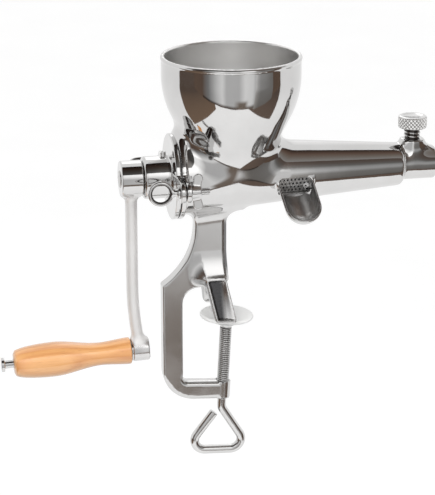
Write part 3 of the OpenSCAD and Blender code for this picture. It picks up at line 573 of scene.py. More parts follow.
def turned(outline, place, around=96):
    """A turned piece: outline of (radius, height) pairs, and place, which maps local points to the frame."""
    rows = np.array(outline, float)
    run = np.diff(rows, axis=0)
    flat = np.stack([run[:, 1], -run[:, 0]], axis=1) * np.linalg.norm(run, axis=1)[:, None]
    facing = np.vstack([flat[:1], flat[:-1] + flat[1:], flat[-1:]])
    facing /= np.maximum(np.linalg.norm(facing, axis=1), 1e-9)[:, None]
    angles = circle(around)
    spin = np.stack([np.cos(angles), np.sin(angles)], axis=1)

    def revolve(pairs):
        radial = pairs[:, None, :1] * spin[None]
        heights = np.broadcast_to(pairs[:, None, 1:], radial.shape[:2] + (1,))
        return np.concatenate([radial, heights], axis=2).reshape(-1, 3)

    return place(revolve(rows)), ring_faces(len(rows), around), place(revolve(facing), turn_only=True)


def thread(radius, depth, pitch, start, end, place, around=40, rows_per_turn=16):
    """A true screw thread between two heights, tapering into its ends."""
    heights = np.linspace(start, end, int(abs(end - start) / pitch * rows_per_turn))
    height, angle = np.meshgrid(heights, circle(around), indexing="ij")
    phase = (height / pitch + angle / (2 * math.pi)) % 1.0
    tooth = np.clip(2.5 - 8.0 * np.abs(phase - 0.5), 0.0, 1.0)
    ends = np.minimum(np.abs(height - start), np.abs(height - end)) / pitch
    r = radius - depth * (1 - tooth * np.clip(ends, 0, 1))
    points = np.stack([r * np.cos(angle), r * np.sin(angle), height], axis=-1).reshape(-1, 3)
    return place(points), ring_faces(len(heights), around, capped=True)


def bent_path(start, way, steps, bend):
    """Centre line of a rod bent in the XZ plane: steps of (straight length, bend angle in degrees)."""
    at, heading = np.array(start, float), math.atan2(way[1], way[0])
    path = [tuple(at)]
    for length, angle in steps:
        at = at + length * np.array([math.cos(heading), math.sin(heading)])
        path.append(tuple(at))
        turn = math.radians(angle)
        count = int(abs(angle) / 6)
        for _ in range(count):
            heading += turn / count / 2
            chord = 2 * bend * math.sin(abs(turn) / count / 2)
            at = at + chord * np.array([math.cos(heading), math.sin(heading)])
            heading += turn / count / 2
            path.append(tuple(at))
    return path


def swept_rod(path, radius, around=32):
    """A round rod along a path in the XZ plane, the edge of its far end rounded."""
    line = np.array(path, float)
    tangent = np.gradient(line, axis=0)
    tangent /= np.linalg.norm(tangent, axis=1)[:, None]
    dome = np.linspace(0, math.pi / 2, 5)[1:]
    edge = 0.2 * radius
    centres = np.vstack([line] + [line[-1] + edge * math.sin(d) * tangent[-1] for d in dome])
    sizes = np.concatenate([np.full(len(line), radius), radius - edge + edge * np.cos(dome)])
    tangent = np.vstack([tangent] + [tangent[-1]] * len(dome))
    across = np.stack([-tangent[:, 1], tangent[:, 0]], axis=1)
    angles = circle(around)
    rings = []
    for centre, size, side in zip(centres, sizes, across):
        ring = np.zeros((around, 3))
        ring[:, 0] = centre[0] + size * np.cos(angles) * side[0]
        ring[:, 2] = centre[1] + size * np.cos(angles) * side[1]
        ring[:, 1] = size * np.sin(angles)
        rings.append(ring)
    return np.vstack(rings), ring_faces(len(centres), around, capped=True)


def joined(*shapes):
    """Several shapes as one: points and faces."""
    points, faces, count = [], [], 0
    for shape in shapes:
        points.append(shape[0])
        faces += [tuple(i + count for i in face) for face in shape[1]]
        count += len(shape[0])
    return np.vstack(points), faces


def add_piece(shape, material, body, slot, *nodes, name=None):
    """A mesh object from points in millimetres, faces and, where given, exact normals."""
    name = name or nodes[0] + "_skin"
    points, faces = shape[0], shape[1]
    mesh = bpy.data.meshes.new(name)
    mesh.from_pydata((np.asarray(points) * MM).tolist(), [], [tuple(map(int, face)) for face in faces])
    mesh.validate()
    mesh.shade_smooth()
    if len(shape) > 2:
        mesh.normals_split_custom_set_from_vertices(shape[2].tolist())
    else:
        mesh.set_sharp_from_angle(angle=math.radians(40))
    mesh.materials.append(material)
    piece = bpy.data.objects.new(name, mesh)
    bpy.context.collection.objects.link(piece)
    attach(piece, body)
    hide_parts(*nodes)
    return piece


def keep_numbers(piece, **numbers):
    """Keeps numbers for each point of a piece, for its material."""
    for name, values in numbers.items():
        kept = piece.data.attributes.new(name, "FLOAT", "POINT")
        kept.data.foreach_set("value", np.asarray(values, np.float32))


# Materials

def new_material(name, **sockets):
    material = bpy.data.materials.new(name)
    material.use_nodes = True
    shader = material.node_tree.nodes["Principled BSDF"]
    for socket, value in sockets.items():
        shader.inputs[socket.replace("_", " ")].default_value = value
    return material, material.node_tree, shader


def feed(tree, shader, **outputs):
    """Links outputs to a shader's sockets."""
    for socket, output in outputs.items():
        tree.links.new(output, shader.inputs[socket.replace("_", " ")])


def add_node(tree, kind, inputs, **settings):
    """A node with its settings, whose inputs are values or other nodes' outputs."""
    made = tree.nodes.new("ShaderNode" + kind)
    for name, value in settings.items():
        setattr(made, name, value)
    for socket, value in inputs.items():
        if isinstance(value, bpy.types.NodeSocket):
            tree.links.new(value, made.inputs[socket])
        else:
            made.inputs[socket].default_value = value
    return made


def stretched(tree, scale=(1.0, 1.0, 1.0), turn=(0.0, 0.0, 0.0)):
    """Object coordinates, scaled along each axis."""
    place = add_node(tree, "TexCoord", {}).outputs["Object"]
    return add_node(tree, "Mapping", {"Vector": place, "Scale": scale, "Rotation": turn}).outputs["Vector"]


def noise(tree, vector, scale, detail=3.0):
    return add_node(tree, "TexNoise", {"Vector": vector, "Scale": scale, "Detail": detail}).outputs["Fac"]


def ranged(tree, value, low, high, start=0.3, end=0.7):
    """A value between start and end, mapped to low and high."""
    return add_node(tree, "MapRange", {
        "Value": value, "From Min": start, "From Max": end, "To Min": low, "To Max": high}).outputs["Result"]


def mixed(tree, factor, first, second):
    """A mix of two values or sockets."""
    return add_node(tree, "Mix", {0: factor, 2: first, 3: second}).outputs[0]


def mixed_colour(tree, factor, first, second, how="MIX"):
    """A mix of two colours."""
    return add_node(tree, "Mix", {"Factor": factor, 6: first, 7: second}, data_type="RGBA",
                    blend_type=how).outputs[2]


def coloured(tree, factor, stops):
    """A colour ramp: stops of (place, colour), where one number is a grey."""
    ramp = add_node(tree, "ValToRGB", {"Fac": factor})
    elements = ramp.color_ramp.elements
    elements.remove(elements[1])
    elements[0].position = stops[0][0]
    for place, colour in stops:
        element = elements[0] if place == stops[0][0] else elements.new(place)
        element.color = (*np.broadcast_to(colour, 3).tolist(), 1.0)
    return ramp.outputs["Color"]


def two_tone(tree, factor, tones):
    """Clouds between a darker and a lighter colour."""
    return coloured(tree, factor, [(0.3, tones[0]), (0.7, tones[1])])


def attribute(tree, name):
    """A number kept with the mesh's points."""
    return add_node(tree, "Attribute", {}, attribute_name=name).outputs["Fac"]


def bump(tree, height, distance, strength, below=None):
    inputs = {"Height": height, "Distance": distance, "Strength": strength}
    if below is not None:
        inputs["Normal"] = below
    return add_node(tree, "Bump", inputs).outputs["Normal"]


# Darker and lighter tone of each metal
MIRROR_TONES = (0.60, 0.595, 0.59), (0.65, 0.645, 0.64)
HUB_TONES = (0.60, 0.595, 0.59), (0.66, 0.655, 0.65)
HARDWARE_TONES = (0.60, 0.595, 0.59), (0.67, 0.665, 0.66)
PALE_TONES = (0.84, 0.835, 0.825), (0.89, 0.885, 0.875)
SATIN_TONES = (0.72, 0.71, 0.70), (0.78, 0.77, 0.76)
SIEVE_TONES = (0.58, 0.575, 0.57), (0.66, 0.655, 0.65)
AUGER_TONES = (0.50, 0.49, 0.48), (0.58, 0.57, 0.56)
# Painted shade: near-black tone laid into the casting's hollows and shaded places
PAINTED_SHADE_TONES = (0.075, 0.075, 0.077), (0.115, 0.115, 0.118)
# Painted shade, near black, for threads' roots, knurl grooves and the eye's inner side
PAINTED_ROOT_SHADE_TONES = (0.045, 0.039, 0.036), (0.08, 0.07, 0.065)
BRONZE_TONES = (0.60, 0.39, 0.18), (0.72, 0.50, 0.26)


def metal(name, tones, rough, grain=(1.0, 1.0, 1.0), grain_scale=900.0):
    """Metal with cloudy colour, uneven polish and fine scratches."""
    material, tree, shader = new_material(name, Metallic=1.0)
    cloud = noise(tree, stretched(tree), 45.0)
    fine = noise(tree, stretched(tree, grain), grain_scale, 4.0)
    feed(tree, shader, Base_Color=two_tone(tree, cloud, tones),
         Roughness=ranged(tree, mixed(tree, 0.5, cloud, fine), *rough),
         Normal=bump(tree, fine, 0.02 * MM, 0.35))
    return material


def bowl_rings(tree, place):
    """Distance from the hopper's axis and height: noise on it runs round the bowl."""
    off_axis = add_node(tree, "VectorMath", {0: place, 1: (-HOPPER_X * MM, 0.0, 0.0)}).outputs[0]
    x, y, z = add_node(tree, "SeparateXYZ", {0: off_axis}).outputs
    level = add_node(tree, "CombineXYZ", {"X": x, "Y": y}).outputs[0]
    radius = add_node(tree, "VectorMath", {0: level}, operation="LENGTH").outputs["Value"]
    return add_node(tree, "CombineXYZ", {"X": radius, "Y": z}).outputs[0]


def casting_steel():
    """Mirror polish outside, brushing in the bowl, a softer polish on the clamp, and painted shade: a
    near-black, rougher tone in its hollows, on the column's front edge, in a band of the bowl and in the
    spout.
    """
    material, tree, shader = new_material("casting_steel", Metallic=1.0)
    plain = stretched(tree)
    cloud, fine = noise(tree, plain, 40.0), noise(tree, plain, 800.0, 4.0)
    brushed = noise(tree, bowl_rings(tree, plain), 1500.0, 4.0)
    satin, soft, raw = attribute(tree, "satin"), attribute(tree, "soft"), attribute(tree, "raw")
    clean = mixed_colour(tree, satin, two_tone(tree, cloud, MIRROR_TONES), two_tone(tree, cloud, PALE_TONES))
    mirror = ranged(tree, mixed(tree, 0.5, cloud, fine), 0.035, 0.075)
    rough = mixed(tree, soft, mirror, ranged(tree, cloud, 0.15, 0.20))
    rough = mixed(tree, satin, rough, ranged(tree, brushed, 0.26, 0.38))
    scratches = bump(tree, mixed(tree, satin, fine, brushed), 0.03 * MM, mixed(tree, satin, 0.06, 0.5))
    wave = ranged(tree, soft, 0.6, 0.2, 0.0, 1.0)
    # Painted shade: near-black colour and more roughness where the attribute for it is set
    feed(tree, shader, Base_Color=mixed_colour(tree, raw, clean, two_tone(tree, fine, PAINTED_SHADE_TONES)),
         Roughness=mixed(tree, raw, rough, ranged(tree, fine, 0.36, 0.46)),
         Normal=bump(tree, noise(tree, plain, 85.0, 1.0), 0.12 * MM, wave, scratches))
    return material


def crank_steel():
    """Satin arm with a mirror polished hub and handle boss."""
    material, tree, shader = new_material("crank_steel", Metallic=1.0)
    cloud = noise(tree, stretched(tree), 45.0)
    brushed = noise(tree, stretched(tree, (1.0, 1.0, 0.25)), 1200.0, 4.0)
    polished = attribute(tree, "polished")
    satin, mirror = two_tone(tree, cloud, SATIN_TONES), two_tone(tree, cloud, HUB_TONES)
    rough = mixed(tree, polished, ranged(tree, brushed, 0.38, 0.48), ranged(tree, cloud, 0.04, 0.08))
    feed(tree, shader, Base_Color=mixed_colour(tree, polished, satin, mirror),
         Metallic=ranged(tree, polished, 0.4, 1.0, 0.0, 1.0), Roughness=rough,
         Normal=bump(tree, brushed, 0.02 * MM, mixed(tree, polished, 0.35, 0.05)))
    return material


def worn_steel():
    """Bright hardware, frosted where it is cut, with painted shade, near black, in threads' roots, knurl
    grooves and the eye's inner side.
    """
    material, tree, shader = new_material("worn_steel", Metallic=1.0)
    plain = stretched(tree)
    cloud, fine = noise(tree, plain, 60.0), noise(tree, plain, 1400.0, 4.0)
    inside, frosted = attribute(tree, "inside"), attribute(tree, "frosted")
    bright, pale = two_tone(tree, cloud, HARDWARE_TONES), two_tone(tree, cloud, PALE_TONES)
    bright = mixed_colour(tree, frosted, bright, pale)
    rough = mixed(tree, frosted, ranged(tree, fine, 0.08, 0.16), 0.35)
    # Painted shade: near-black colour where the attribute inside is set
    feed(tree, shader, Base_Color=mixed_colour(tree, inside, bright, two_tone(tree, cloud, PAINTED_ROOT_SHADE_TONES)),
         Metallic=ranged(tree, frosted, 1.0, 0.35, 0.0, 1.0), Roughness=mixed(tree, inside, rough, 0.3),
         Normal=bump(tree, fine, 0.02 * MM, 0.3))
    return material


def varnished_wood():
    """Turned wood: long grain, pores and a clear varnish."""
    material, tree, shader = new_material("varnished_wood", Coat_Weight=0.8, Coat_Roughness=0.1, Coat_IOR=1.8)
    droop = (0.0, HANDLE_DROOP, 0.0)
    streak = noise(tree, stretched(tree, (9.0, 150.0, 150.0), droop), 1.0, 5.0)
    warp = noise(tree, stretched(tree, (6.0, 30.0, 30.0)), 1.0)
    rings = add_node(tree, "TexWave", {
        "Vector": stretched(tree, (3.0, 42.0, 60.0), droop), "Scale": 1.6, "Distortion": 5.0,
        "Detail": 2.0, "Phase Offset": warp}, bands_direction="Y").outputs["Fac"]
    pores = noise(tree, stretched(tree, (40.0, 1500.0, 1500.0), droop), 1.0, 2.0)
    colour = coloured(tree, mixed(tree, 0.72, rings, streak), [
        (0.25, (0.62, 0.265, 0.085)), (0.5, (0.74, 0.36, 0.13)), (0.8, (0.80, 0.43, 0.175))])
    dark = ranged(tree, pores, 0.35, 0.0, 0.28, 0.42)
    feed(tree, shader, Base_Color=mixed_colour(tree, dark, colour, (0.42, 0.18, 0.06, 1.0)),
         Roughness=ranged(tree, streak, 0.28, 0.44), Normal=bump(tree, pores, 0.06 * MM, 0.4))
    return material


def matt(name, tones, rough, scale, depth):
    """A dull surface, cast or rubber, with speckle and fine bumps."""
    material, tree, shader = new_material(name)
    plain = stretched(tree)
    cloud, fine = noise(tree, plain, 60.0), noise(tree, plain, scale, 4.0)
    feed(tree, shader, Base_Color=two_tone(tree, mixed(tree, 0.4, cloud, fine), tones),
         Roughness=ranged(tree, fine, *rough), Normal=bump(tree, fine, depth, 0.4))
    return material


CASTING = casting_steel()
CRANK = crank_steel()
SIEVE = metal("sieve_steel", SIEVE_TONES, (0.30, 0.42))
WORN = worn_steel()
BRIGHT = metal("bright_steel", HARDWARE_TONES, (0.10, 0.20), grain_scale=1400.0)
DARK = metal("auger_steel", AUGER_TONES, (0.22, 0.36), (0.2, 1.0, 1.0))
BRONZE = metal("bearing_bronze", BRONZE_TONES, (0.22, 0.36))
WOOD = varnished_wood()
PAD = matt("pale_pad", ((0.80, 0.80, 0.79), (0.86, 0.86, 0.85)), (0.35, 0.5), 1500.0, 0.03 * MM)
RUBBER = matt("rubber_seal", ((0.03, 0.03, 0.031), (0.045, 0.045, 0.047)), (0.5, 0.7), 1800.0, 0.04 * MM)


# Camera, at the photograph's viewing angle

IMAGE_W, IMAGE_H, FOCAL_PIXELS = 435, 495, 1850.0
CAMERA_AT = Vector((-0.2623, -1.2554, 0.4759))
CAMERA_YAW, CAMERA_PITCH = math.radians(-11.5), math.radians(-18.35)


def make_camera():
    data = bpy.data.cameras.new("camera")
    data.sensor_fit = "AUTO"
    data.sensor_width = 36.0
    data.lens = FOCAL_PIXELS / max(IMAGE_W, IMAGE_H) * data.sensor_width
    camera = bpy.data.objects.new("camera", data)
    camera.location = CAMERA_AT
    camera.rotation_euler = (math.pi / 2 + CAMERA_PITCH, 0.0, CAMERA_YAW)
    bpy.context.collection.objects.link(camera)
    bpy.context.scene.camera = camera


make_camera()


# Pieces

def make_casting():
    """The casting, and where it is brushed, softly polished or darkened with painted shade."""
    shape = surface(casting, (-51, -54, -70), (158, 54, 197), 1.18)
    piece = add_piece(shape, CASTING, "press_body", "polished_steel", "hopper", "barrel", "nozzle_collar",
                      "clamp_frame", name="press_casting")
    s, y, w, q = barrel_place(shape[0])
    x, _, z = shape[0].T
    in_bowl = (bowl_outside(np.hypot(s, y), w) < -HOPPER_WALL / 2) & (w > BOWL_FLOOR)
    in_tube = (q < barrel_radius(s) - BARREL_WALL / 2) & (s < BARREL_FRONT - FRONT_WALL / 2)
    soft = falls(near(shape[0], CLAMP_BOX, clamp_and_legs), 6, 5)
    on_clamp = soft > 0.9
    across, _, out = leg_place(x, y, z)
    # Painted shade: the legs' pockets, the column's front edge, the nook under the arch and a band in the
    # bowl are darkened
    pocket = falls(out, 1.2 - POCKET_D, 1) * (leg_pocket(x, y, z) < 0.6)
    front = grows(x, -COLUMN_BACK - 3.4, 1.6) * grows(z, LEG_H, 6) * falls(z, SWEEP_Z + 6, 6)
    beside_plate = grows(np.abs(y), FRAME_T / 2 + 0.15, 0.5)
    nook = falls(z, ARCH_H + 10, 3) * beside_plate * falls(across, 1 - LEG_W / 2, 1)
    shade = falls(w, 80, 12) * (1 - 0.7 * falls(w, 66, 14))
    front_dark, nook_dark, bowl_dark = 0.85, 0.5, 0.18
    raw = np.max([pocket, front_dark * front * on_clamp, nook_dark * nook * on_clamp,
                  bowl_dark * shade * in_bowl], axis=0)
    keep_numbers(piece, satin=in_bowl | in_tube, soft=soft, raw=raw)


def make_spout():
    shape = surface(welded_spout, (28, -56, 66), (68, -6, 112), 0.42)
    piece = add_piece(shape, CASTING, "press_body", "polished_steel", "juice_spout")
    up, along, radius = spout_place(shape[0])
    trough = (radius < SPOUT_R + SPOUT_WALL / 3) * falls(up, 0, 0.8)
    # Painted shade in the trough: darkest at its root, lighter towards its end
    keep_numbers(piece, satin=trough, raw=trough * (0.8 - 0.7 * grows(along, 0, SPOUT_LEN)))


def make_cover():
    shape = surface(rear_cover, (-64, -52, 73), (-36, 52, 141), 0.7)
    piece = add_piece(shape, CASTING, "press_body", "polished_steel", "rear_cover", name="cover_and_bearing")
    s, y, w, _ = barrel_place(shape[0])
    off_lug = np.hypot(s - LUG_AT, y)
    on_lug = (off_lug < LUG_R + 1) & (w > BEARING_R - 0.5)
    keep_numbers(piece, satin=on_lug * grows(off_lug, LUG_HOLE_R, 0.5))


def make_eye_bolt(label, side, upright):
    """An eye bolt with its wing nut."""
    y, step = side * EAR_OFF, 0.36
    body = surface(lambda points: eye_bolt(points, side, upright),
                   (-68, y - 11, 96), (-32, y + 11, 118), step)
    stem = thread(EYE_BOLT_R, EYE_THREAD, EYE_PITCH, EAR_FRONT - 0.3, BOLT_END,
                  placed((HOPPER_X, y, AXIS_Z), (1, 0, 0)), 28)
    shape = joined(body, stem)
    bolt = add_piece(shape, WORN, "press_body", "bright_hardware", "eye_bolt_" + label)
    # Painted shade on the inner side of the eye's wire
    inward = -eye_drop(shape[0], side, upright)[0] / EYE_WIRE
    on_eye = shape[0][:, 0] < HOPPER_X + COVER_BACK - 2.5
    keep_numbers(bolt, inside=np.clip(1.8 * inward + 0.1, 0, 1) * on_eye)
    nut = surface(lambda points: wing_nut(points, side), (-36, y - 7, 92), (-24, y + 7, 122), step)
    add_piece(nut, BRIGHT, label + "_nut", "bright_hardware", "wing_nut_" + label)


def make_crank():
    arm = surface(crank_arm, (-80, -15, -36), (-56, 15, 122), 0.7)
    piece = add_piece(arm, CRANK, "crank", "satin_steel", "crank_arm")
    on_hub = falls(barrel_place(arm[0])[3], HUB_R + 1, 1)
    along, away = handle_place(arm[0])
    on_boss = falls(away, CRANK_BOSS_R + 1, 1) * (np.abs(along) < CRANK_BOSS_LEN / 2 + 1)
    keep_numbers(piece, polished=np.maximum(on_hub, 0.8 * on_boss))
    screw = surface(auger, (-79, -23, 84), (128, 23, 130), 0.9)
    add_piece(screw, DARK, "crank", "satin_steel", "auger")


def grip_radius(t):
    """Radius along the grip: flare, waist, belly and a round end."""
    def ease(a, b, u):
        return a + (b - a) * u * u * (3 - 2 * u)
    if t < WAIST_AT:
        return ease(GRIP_IN_R, GRIP_WAIST_R, t / WAIST_AT)
    if t < BELLY_AT:
        return ease(GRIP_WAIST_R, GRIP_BELLY_R, (t - WAIST_AT) / (BELLY_AT - WAIST_AT))
    return GRIP_OUT_R + (GRIP_BELLY_R - GRIP_OUT_R) * math.sqrt(1 - ((t - BELLY_AT) / (1 - BELLY_AT)) ** 2)


def make_handle():
    """Grip, bolt and washer, all turned round the handle's axis."""
    place = placed(HANDLE_ROOT, HANDLE_WAY)
    steps = 70
    curve = [(grip_radius(i / steps), GRIP_START + GRIP_LEN * i / steps) for i in range(steps + 1)]
    (in_r, start), (out_r, end) = curve[0], curve[-1]
    bore, lip, lip_len, rim, edge = BOLT_R + RUNNING_FIT, 0.8, 1.2, 1.0, 0.3
    grip = [(bore, start + lip_len), (bore + lip, start), (in_r - rim, start), (in_r - edge, start + edge)]
    grip += curve[1:-1] + [(out_r - rim, end), (bore + lip, end), (bore, end - lip_len), grip[0]]
    add_piece(turned(grip, place, 128), WOOD, "grip", "varnished_wood", "handle_grip")
    boss, head_end = CRANK_BOSS_LEN / 2, BOLT_HEAD_AT + BOLT_HEAD_T
    bolt = [(0, FACE_GAP - boss), (BOLT_R, FACE_GAP - boss), (BOLT_R, BOLT_HEAD_AT),
            (BOLT_HEAD_R, BOLT_HEAD_AT), (BOLT_HEAD_R, head_end), (0, head_end)]
    add_piece(turned(rounded(bolt, 0.7), place, 64), BRIGHT, "crank", "bright_hardware", "handle_bolt")
    front = boss + WASHER_T
    washer = [(WASHER_BORE, boss), (WASHER_R, boss), (WASHER_R, front), (WASHER_BORE, front)]
    washer.append(washer[0])
    add_piece(turned(rounded(washer, 0.25), place, 64), BRIGHT, "crank", "bright_hardware", "handle_washer")


def make_nozzle():
    back = BARREL_FRONT - FRONT_WALL + FACE_GAP
    half = back + (COLLAR_FRONT - back) / 2
    tip = COLLAR_FRONT + NOZZLE_LIP_LEN
    sleeve = [(NOZZLE_BORE, half), (NOZZLE_LIP_R, back), (NOZZLE_R, back), (NOZZLE_R, COLLAR_FRONT),
              (NOZZLE_LIP_R, COLLAR_FRONT), (NOZZLE_LIP_R, tip), (NOZZLE_BORE, tip), (NOZZLE_BORE, half)]
    shape = turned(rounded(sleeve, 0.6), placed((HOPPER_X, 0, AXIS_Z), (1, 0, 0)))
    add_piece(shape, BRIGHT, "nozzle", "bright_hardware", "pulp_nozzle")


def make_thumb_screw():
    """Thumb screw: threaded stem and neck, knurled head; painted shade in the grooves, frosted on the knurl.
    """
    upright = placed((HOPPER_X + BOSS_AT, 0, AXIS_Z), (0, 0, 1))
    head_at = BOSS_H + THUMB_NECK
    stem = thread(THUMB_R, THUMB_THREAD, THUMB_PITCH, NOZZLE_R + FACE_GAP, BOSS_H + 1.0, upright, 48)
    neck = thread(THUMB_NECK_R, THUMB_THREAD, NECK_PITCH, BOSS_H + FACE_GAP, head_at + 0.6, upright, 48)
    head = knurled_head(THUMB_HEAD_R, head_at, THUMB_HEAD_T, upright)
    shape = joined(stem, neck, head)
    screw = add_piece(shape, WORN, "nozzle_lock", "bright_hardware", "thumb_screw")
    x, y, z = shape[0].T
    head_z = AXIS_Z + head_at
    sunk = np.where(z < head_z, THUMB_NECK_R, THUMB_HEAD_R) - np.hypot(x - HOPPER_X - BOSS_AT, y)
    below_top = z <= head_z + THUMB_HEAD_T - 1.0
    # Painted shade in the thread's roots and the knurl's grooves
    keep_numbers(screw, inside=grows(sunk, 0, THUMB_THREAD) * below_top, frosted=(z > head_z) & below_top)


def knurled_head(radius, low, height, place, teeth=24, rows=28, depth=0.7):
    """Head of the thumb screw with a diamond knurl round its side and a shallow dish on top."""
    around = teeth * 12
    angles = circle(around)
    edge, bevel, face, diamond = 0.9, 0.35, 1.3, 2.8
    top, inner_r, dish_r, dish = low + height, radius - edge - 0.4, radius - 3.0, 0.3
    rings = [(4.0, low, 0), (inner_r, low, 0), (radius - bevel, low + edge * 0.6, 0)]
    rings += [(radius, low + face + (height - 2 * face) * i / rows, 1) for i in range(rows + 1)]
    rings += [(radius - bevel, top - edge * 0.6, 0), (inner_r, top, 0), (dish_r, top, 0),
              (dish_r - 0.4, top - dish, 0), (0.4, top - dish, 0)]
    points = []
    for r, h, cut in rings:
        slant = (h - low) / diamond
        left = np.abs((angles * teeth / (2 * math.pi) + slant) % 1.0 - 0.5)
        right = np.abs((angles * teeth / (2 * math.pi) - slant) % 1.0 - 0.5)
        groove = np.maximum(np.clip(1.2 - 8 * left, 0, 1), np.clip(1.2 - 8 * right, 0, 1))
        size = r - cut * depth * groove
        points.append(np.stack([size * np.cos(angles), size * np.sin(angles), np.full(around, h)], axis=1))
    return place(np.vstack(points)), ring_faces(len(rings), around, capped=True)


CLAMP_AXIS = placed((0, 0, 0), (math.sin(CLAMP_LEAN), 0, math.cos(CLAMP_LEAN)))


def make_clamp_screw():
    """Clamp screw: thread, ball end and bent rod; painted shade in the thread's roots, frosted on its crests.
    """
    thread_end = -OPENING - ARM_H - FACE_GAP
    screw = thread(SCREW_R, SCREW_THREAD, SCREW_PITCH, thread_end - 0.6, SCREW_TOP, CLAMP_AXIS, 40)
    ball = arc((0, BALL_AT), BALL_R, -45, 88)
    knob = turned([(0.2, ball[0][1])] + ball, CLAMP_AXIS, 48)
    root = CLAMP_AXIS(np.array([[0, 0, thread_end]]))[0]
    way = (-math.sin(CLAMP_LEAN), -math.cos(CLAMP_LEAN))
    loop = swept_rod(bent_path((root[0], root[2]), way, ROD_STEPS, ROD_BEND), ROD_R)
    shape = joined(screw, knob, loop)
    piece = add_piece(shape, WORN, "screw", "bright_hardware", "clamp_screw")
    across, along = clamp_place(shape[0][:, 0], shape[0][:, 2])
    sunk = (SCREW_R - np.hypot(across, shape[0][:, 1])) / SCREW_THREAD
    threaded = (along > thread_end) & (along < SCREW_TOP - 0.5)
    # Painted shade in the thread's roots
    keep_numbers(piece, inside=np.clip(1.2 * sunk, 0, 1) * threaded, frosted=0.55 * threaded)


def make_pad():
    """Clamp pad with a cup that holds the screw's ball end."""
    room = BALL_R + RUNNING_FIT
    mouth = math.degrees(math.asin((SOCKET_LOW - BALL_AT) / room))
    cup = arc((0, BALL_AT), room, 88, mouth)
    edge = 0.8
    pad = [cup[-1], (SOCKET_R - 0.3, SOCKET_LOW), (SOCKET_R, PAD_UNDER), (PAD_R - edge, PAD_UNDER),
           (PAD_R, PAD_UNDER + edge), (PAD_R, PAD_TOP - edge), (PAD_R - edge, PAD_TOP), (0.3, PAD_TOP)]
    shape = turned(cup + rounded(pad, edge)[1:], CLAMP_AXIS)
    add_piece(shape, PAD, "pad", "pale_pad", "clamp_pad")


def dress_inner_pieces():
    """Materials of the pieces that keep their solids."""
    inner = {"strainer": SIEVE, "cover_gasket": RUBBER, "shaft_seal": RUBBER, "bearing_bush": BRONZE,
             "thrust_washer": BRONZE, "crank_set_screw": DARK}
    for name, material in inner.items():
        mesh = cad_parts[name].data
        mesh.materials.clear()
        mesh.materials.append(material)


make_casting()
make_spout()
make_cover()
make_eye_bolt("near", -1, True)
make_eye_bolt("far", 1, False)
make_crank()
make_handle()
make_nozzle()
make_thumb_screw()
make_clamp_screw()
make_pad()
dress_inner_pieces()


# Studio, in metres: white surround, dark cards that polished steel mirrors, and soft light

FLOOR_Z, FLOOR_HALF = -0.45, 6.0
CARD_LOW, PANEL_Z = FLOOR_Z + 0.005, FLOOR_Z + 0.01
WALL_Y, WALL_TOP, WALL_LEFT, WALL_RIGHT, STUDIO_HALF = -0.8, 0.72, -1.3, 0.95, 3.0


def seen_ray(tree):
    """One for rays that look at the studio: the camera's and those of mirrors and glass."""
    path = add_node(tree, "LightPath", {}).outputs
    seen = path["Is Camera Ray"]
    for kind in ("Is Glossy Ray", "Is Transmission Ray"):
        seen = add_node(tree, "Math", {0: seen, 1: path[kind]}, operation="MAXIMUM").outputs[0]
    return seen


def glow(name, spot=None, **ramps):
    """A card's light: for each axis it changes along, stops of (place, colour), and a soft spot."""
    material = bpy.data.materials.new(name)
    material.use_nodes = True
    tree = material.node_tree
    tree.nodes.clear()
    parts = add_node(tree, "SeparateXYZ", {0: stretched(tree)})

    def product(axes):
        result = (1.0, 1.0, 1.0, 1.0)
        for axis, stops in axes.items():
            low, high = stops[0][0], stops[-1][0]
            along = ranged(tree, parts.outputs[axis], 0.0, 1.0, low, high)
            ramp = coloured(tree, along, [((place - low) / (high - low), shade) for place, shade in stops])
            result = mixed_colour(tree, 1.0, result, ramp, "MULTIPLY")
        return result

    colour = product(ramps)
    if spot:
        colour = mixed_colour(tree, product(spot[1]), colour, (*spot[0], 1.0))
    light = add_node(tree, "Emission", {"Color": colour, "Strength": 1.0})
    add_node(tree, "OutputMaterial", {"Surface": light.outputs[0]})
    return material


def card(name, corners, material):
    """A flat card of the studio, seen only in reflections."""
    mesh = bpy.data.meshes.new(name)
    mesh.from_pydata(corners, [], [tuple(range(len(corners)))])
    mesh.materials.append(material)
    made = bpy.data.objects.new(name, mesh)
    bpy.context.collection.objects.link(made)
    made.visible_camera = False
    made.visible_diffuse = False
    made.visible_shadow = False


def upright_card(name, y, sides, heights, material):
    """A card that stands across the Y axis."""
    (left, right), (low, top) = sides, heights
    card(name, [(left, y, low), (right, y, low), (right, y, top), (left, y, top)], material)


def make_floor():
    mesh = bpy.data.meshes.new("floor")
    square = [(-1, -1), (1, -1), (1, 1), (-1, 1)]
    mesh.from_pydata([(FLOOR_HALF * x, FLOOR_HALF * y, FLOOR_Z) for x, y in square], [], [(0, 1, 2, 3)])
    material, tree, shader = new_material("pale_floor", Roughness=0.9, Emission_Color=(1.0, 1.0, 1.0, 1.0))
    feed(tree, shader, Base_Color=two_tone(tree, noise(tree, stretched(tree), 8.0), (0.39, 0.41)),
         Emission_Strength=ranged(tree, seen_ray(tree), 0.0, 0.67, 0.0, 1.0))
    mesh.materials.append(material)
    floor = bpy.data.objects.new("floor", mesh)
    bpy.context.collection.objects.link(floor)


def make_world():
    world = bpy.data.worlds.new("studio")
    bpy.context.scene.world = world
    world.use_nodes = True
    tree = world.node_tree
    background = tree.nodes["Background"]
    background.inputs["Color"].default_value = (1.0, 1.0, 1.0, 1.0)
    feed(tree, background, Strength=mixed(tree, seen_ray(tree), 0.7, 1.0))


def make_lamp(name, place, target, size, power):
    data = bpy.data.lights.new(name, "AREA")
    data.size, data.energy = size, power
    lamp = bpy.data.objects.new(name, data)
    lamp.location = place
    lamp.rotation_euler = (Vector(target) - Vector(place)).to_track_quat("-Z", "Y").to_euler()
    lamp.visible_glossy = False
    bpy.context.collection.objects.link(lamp)


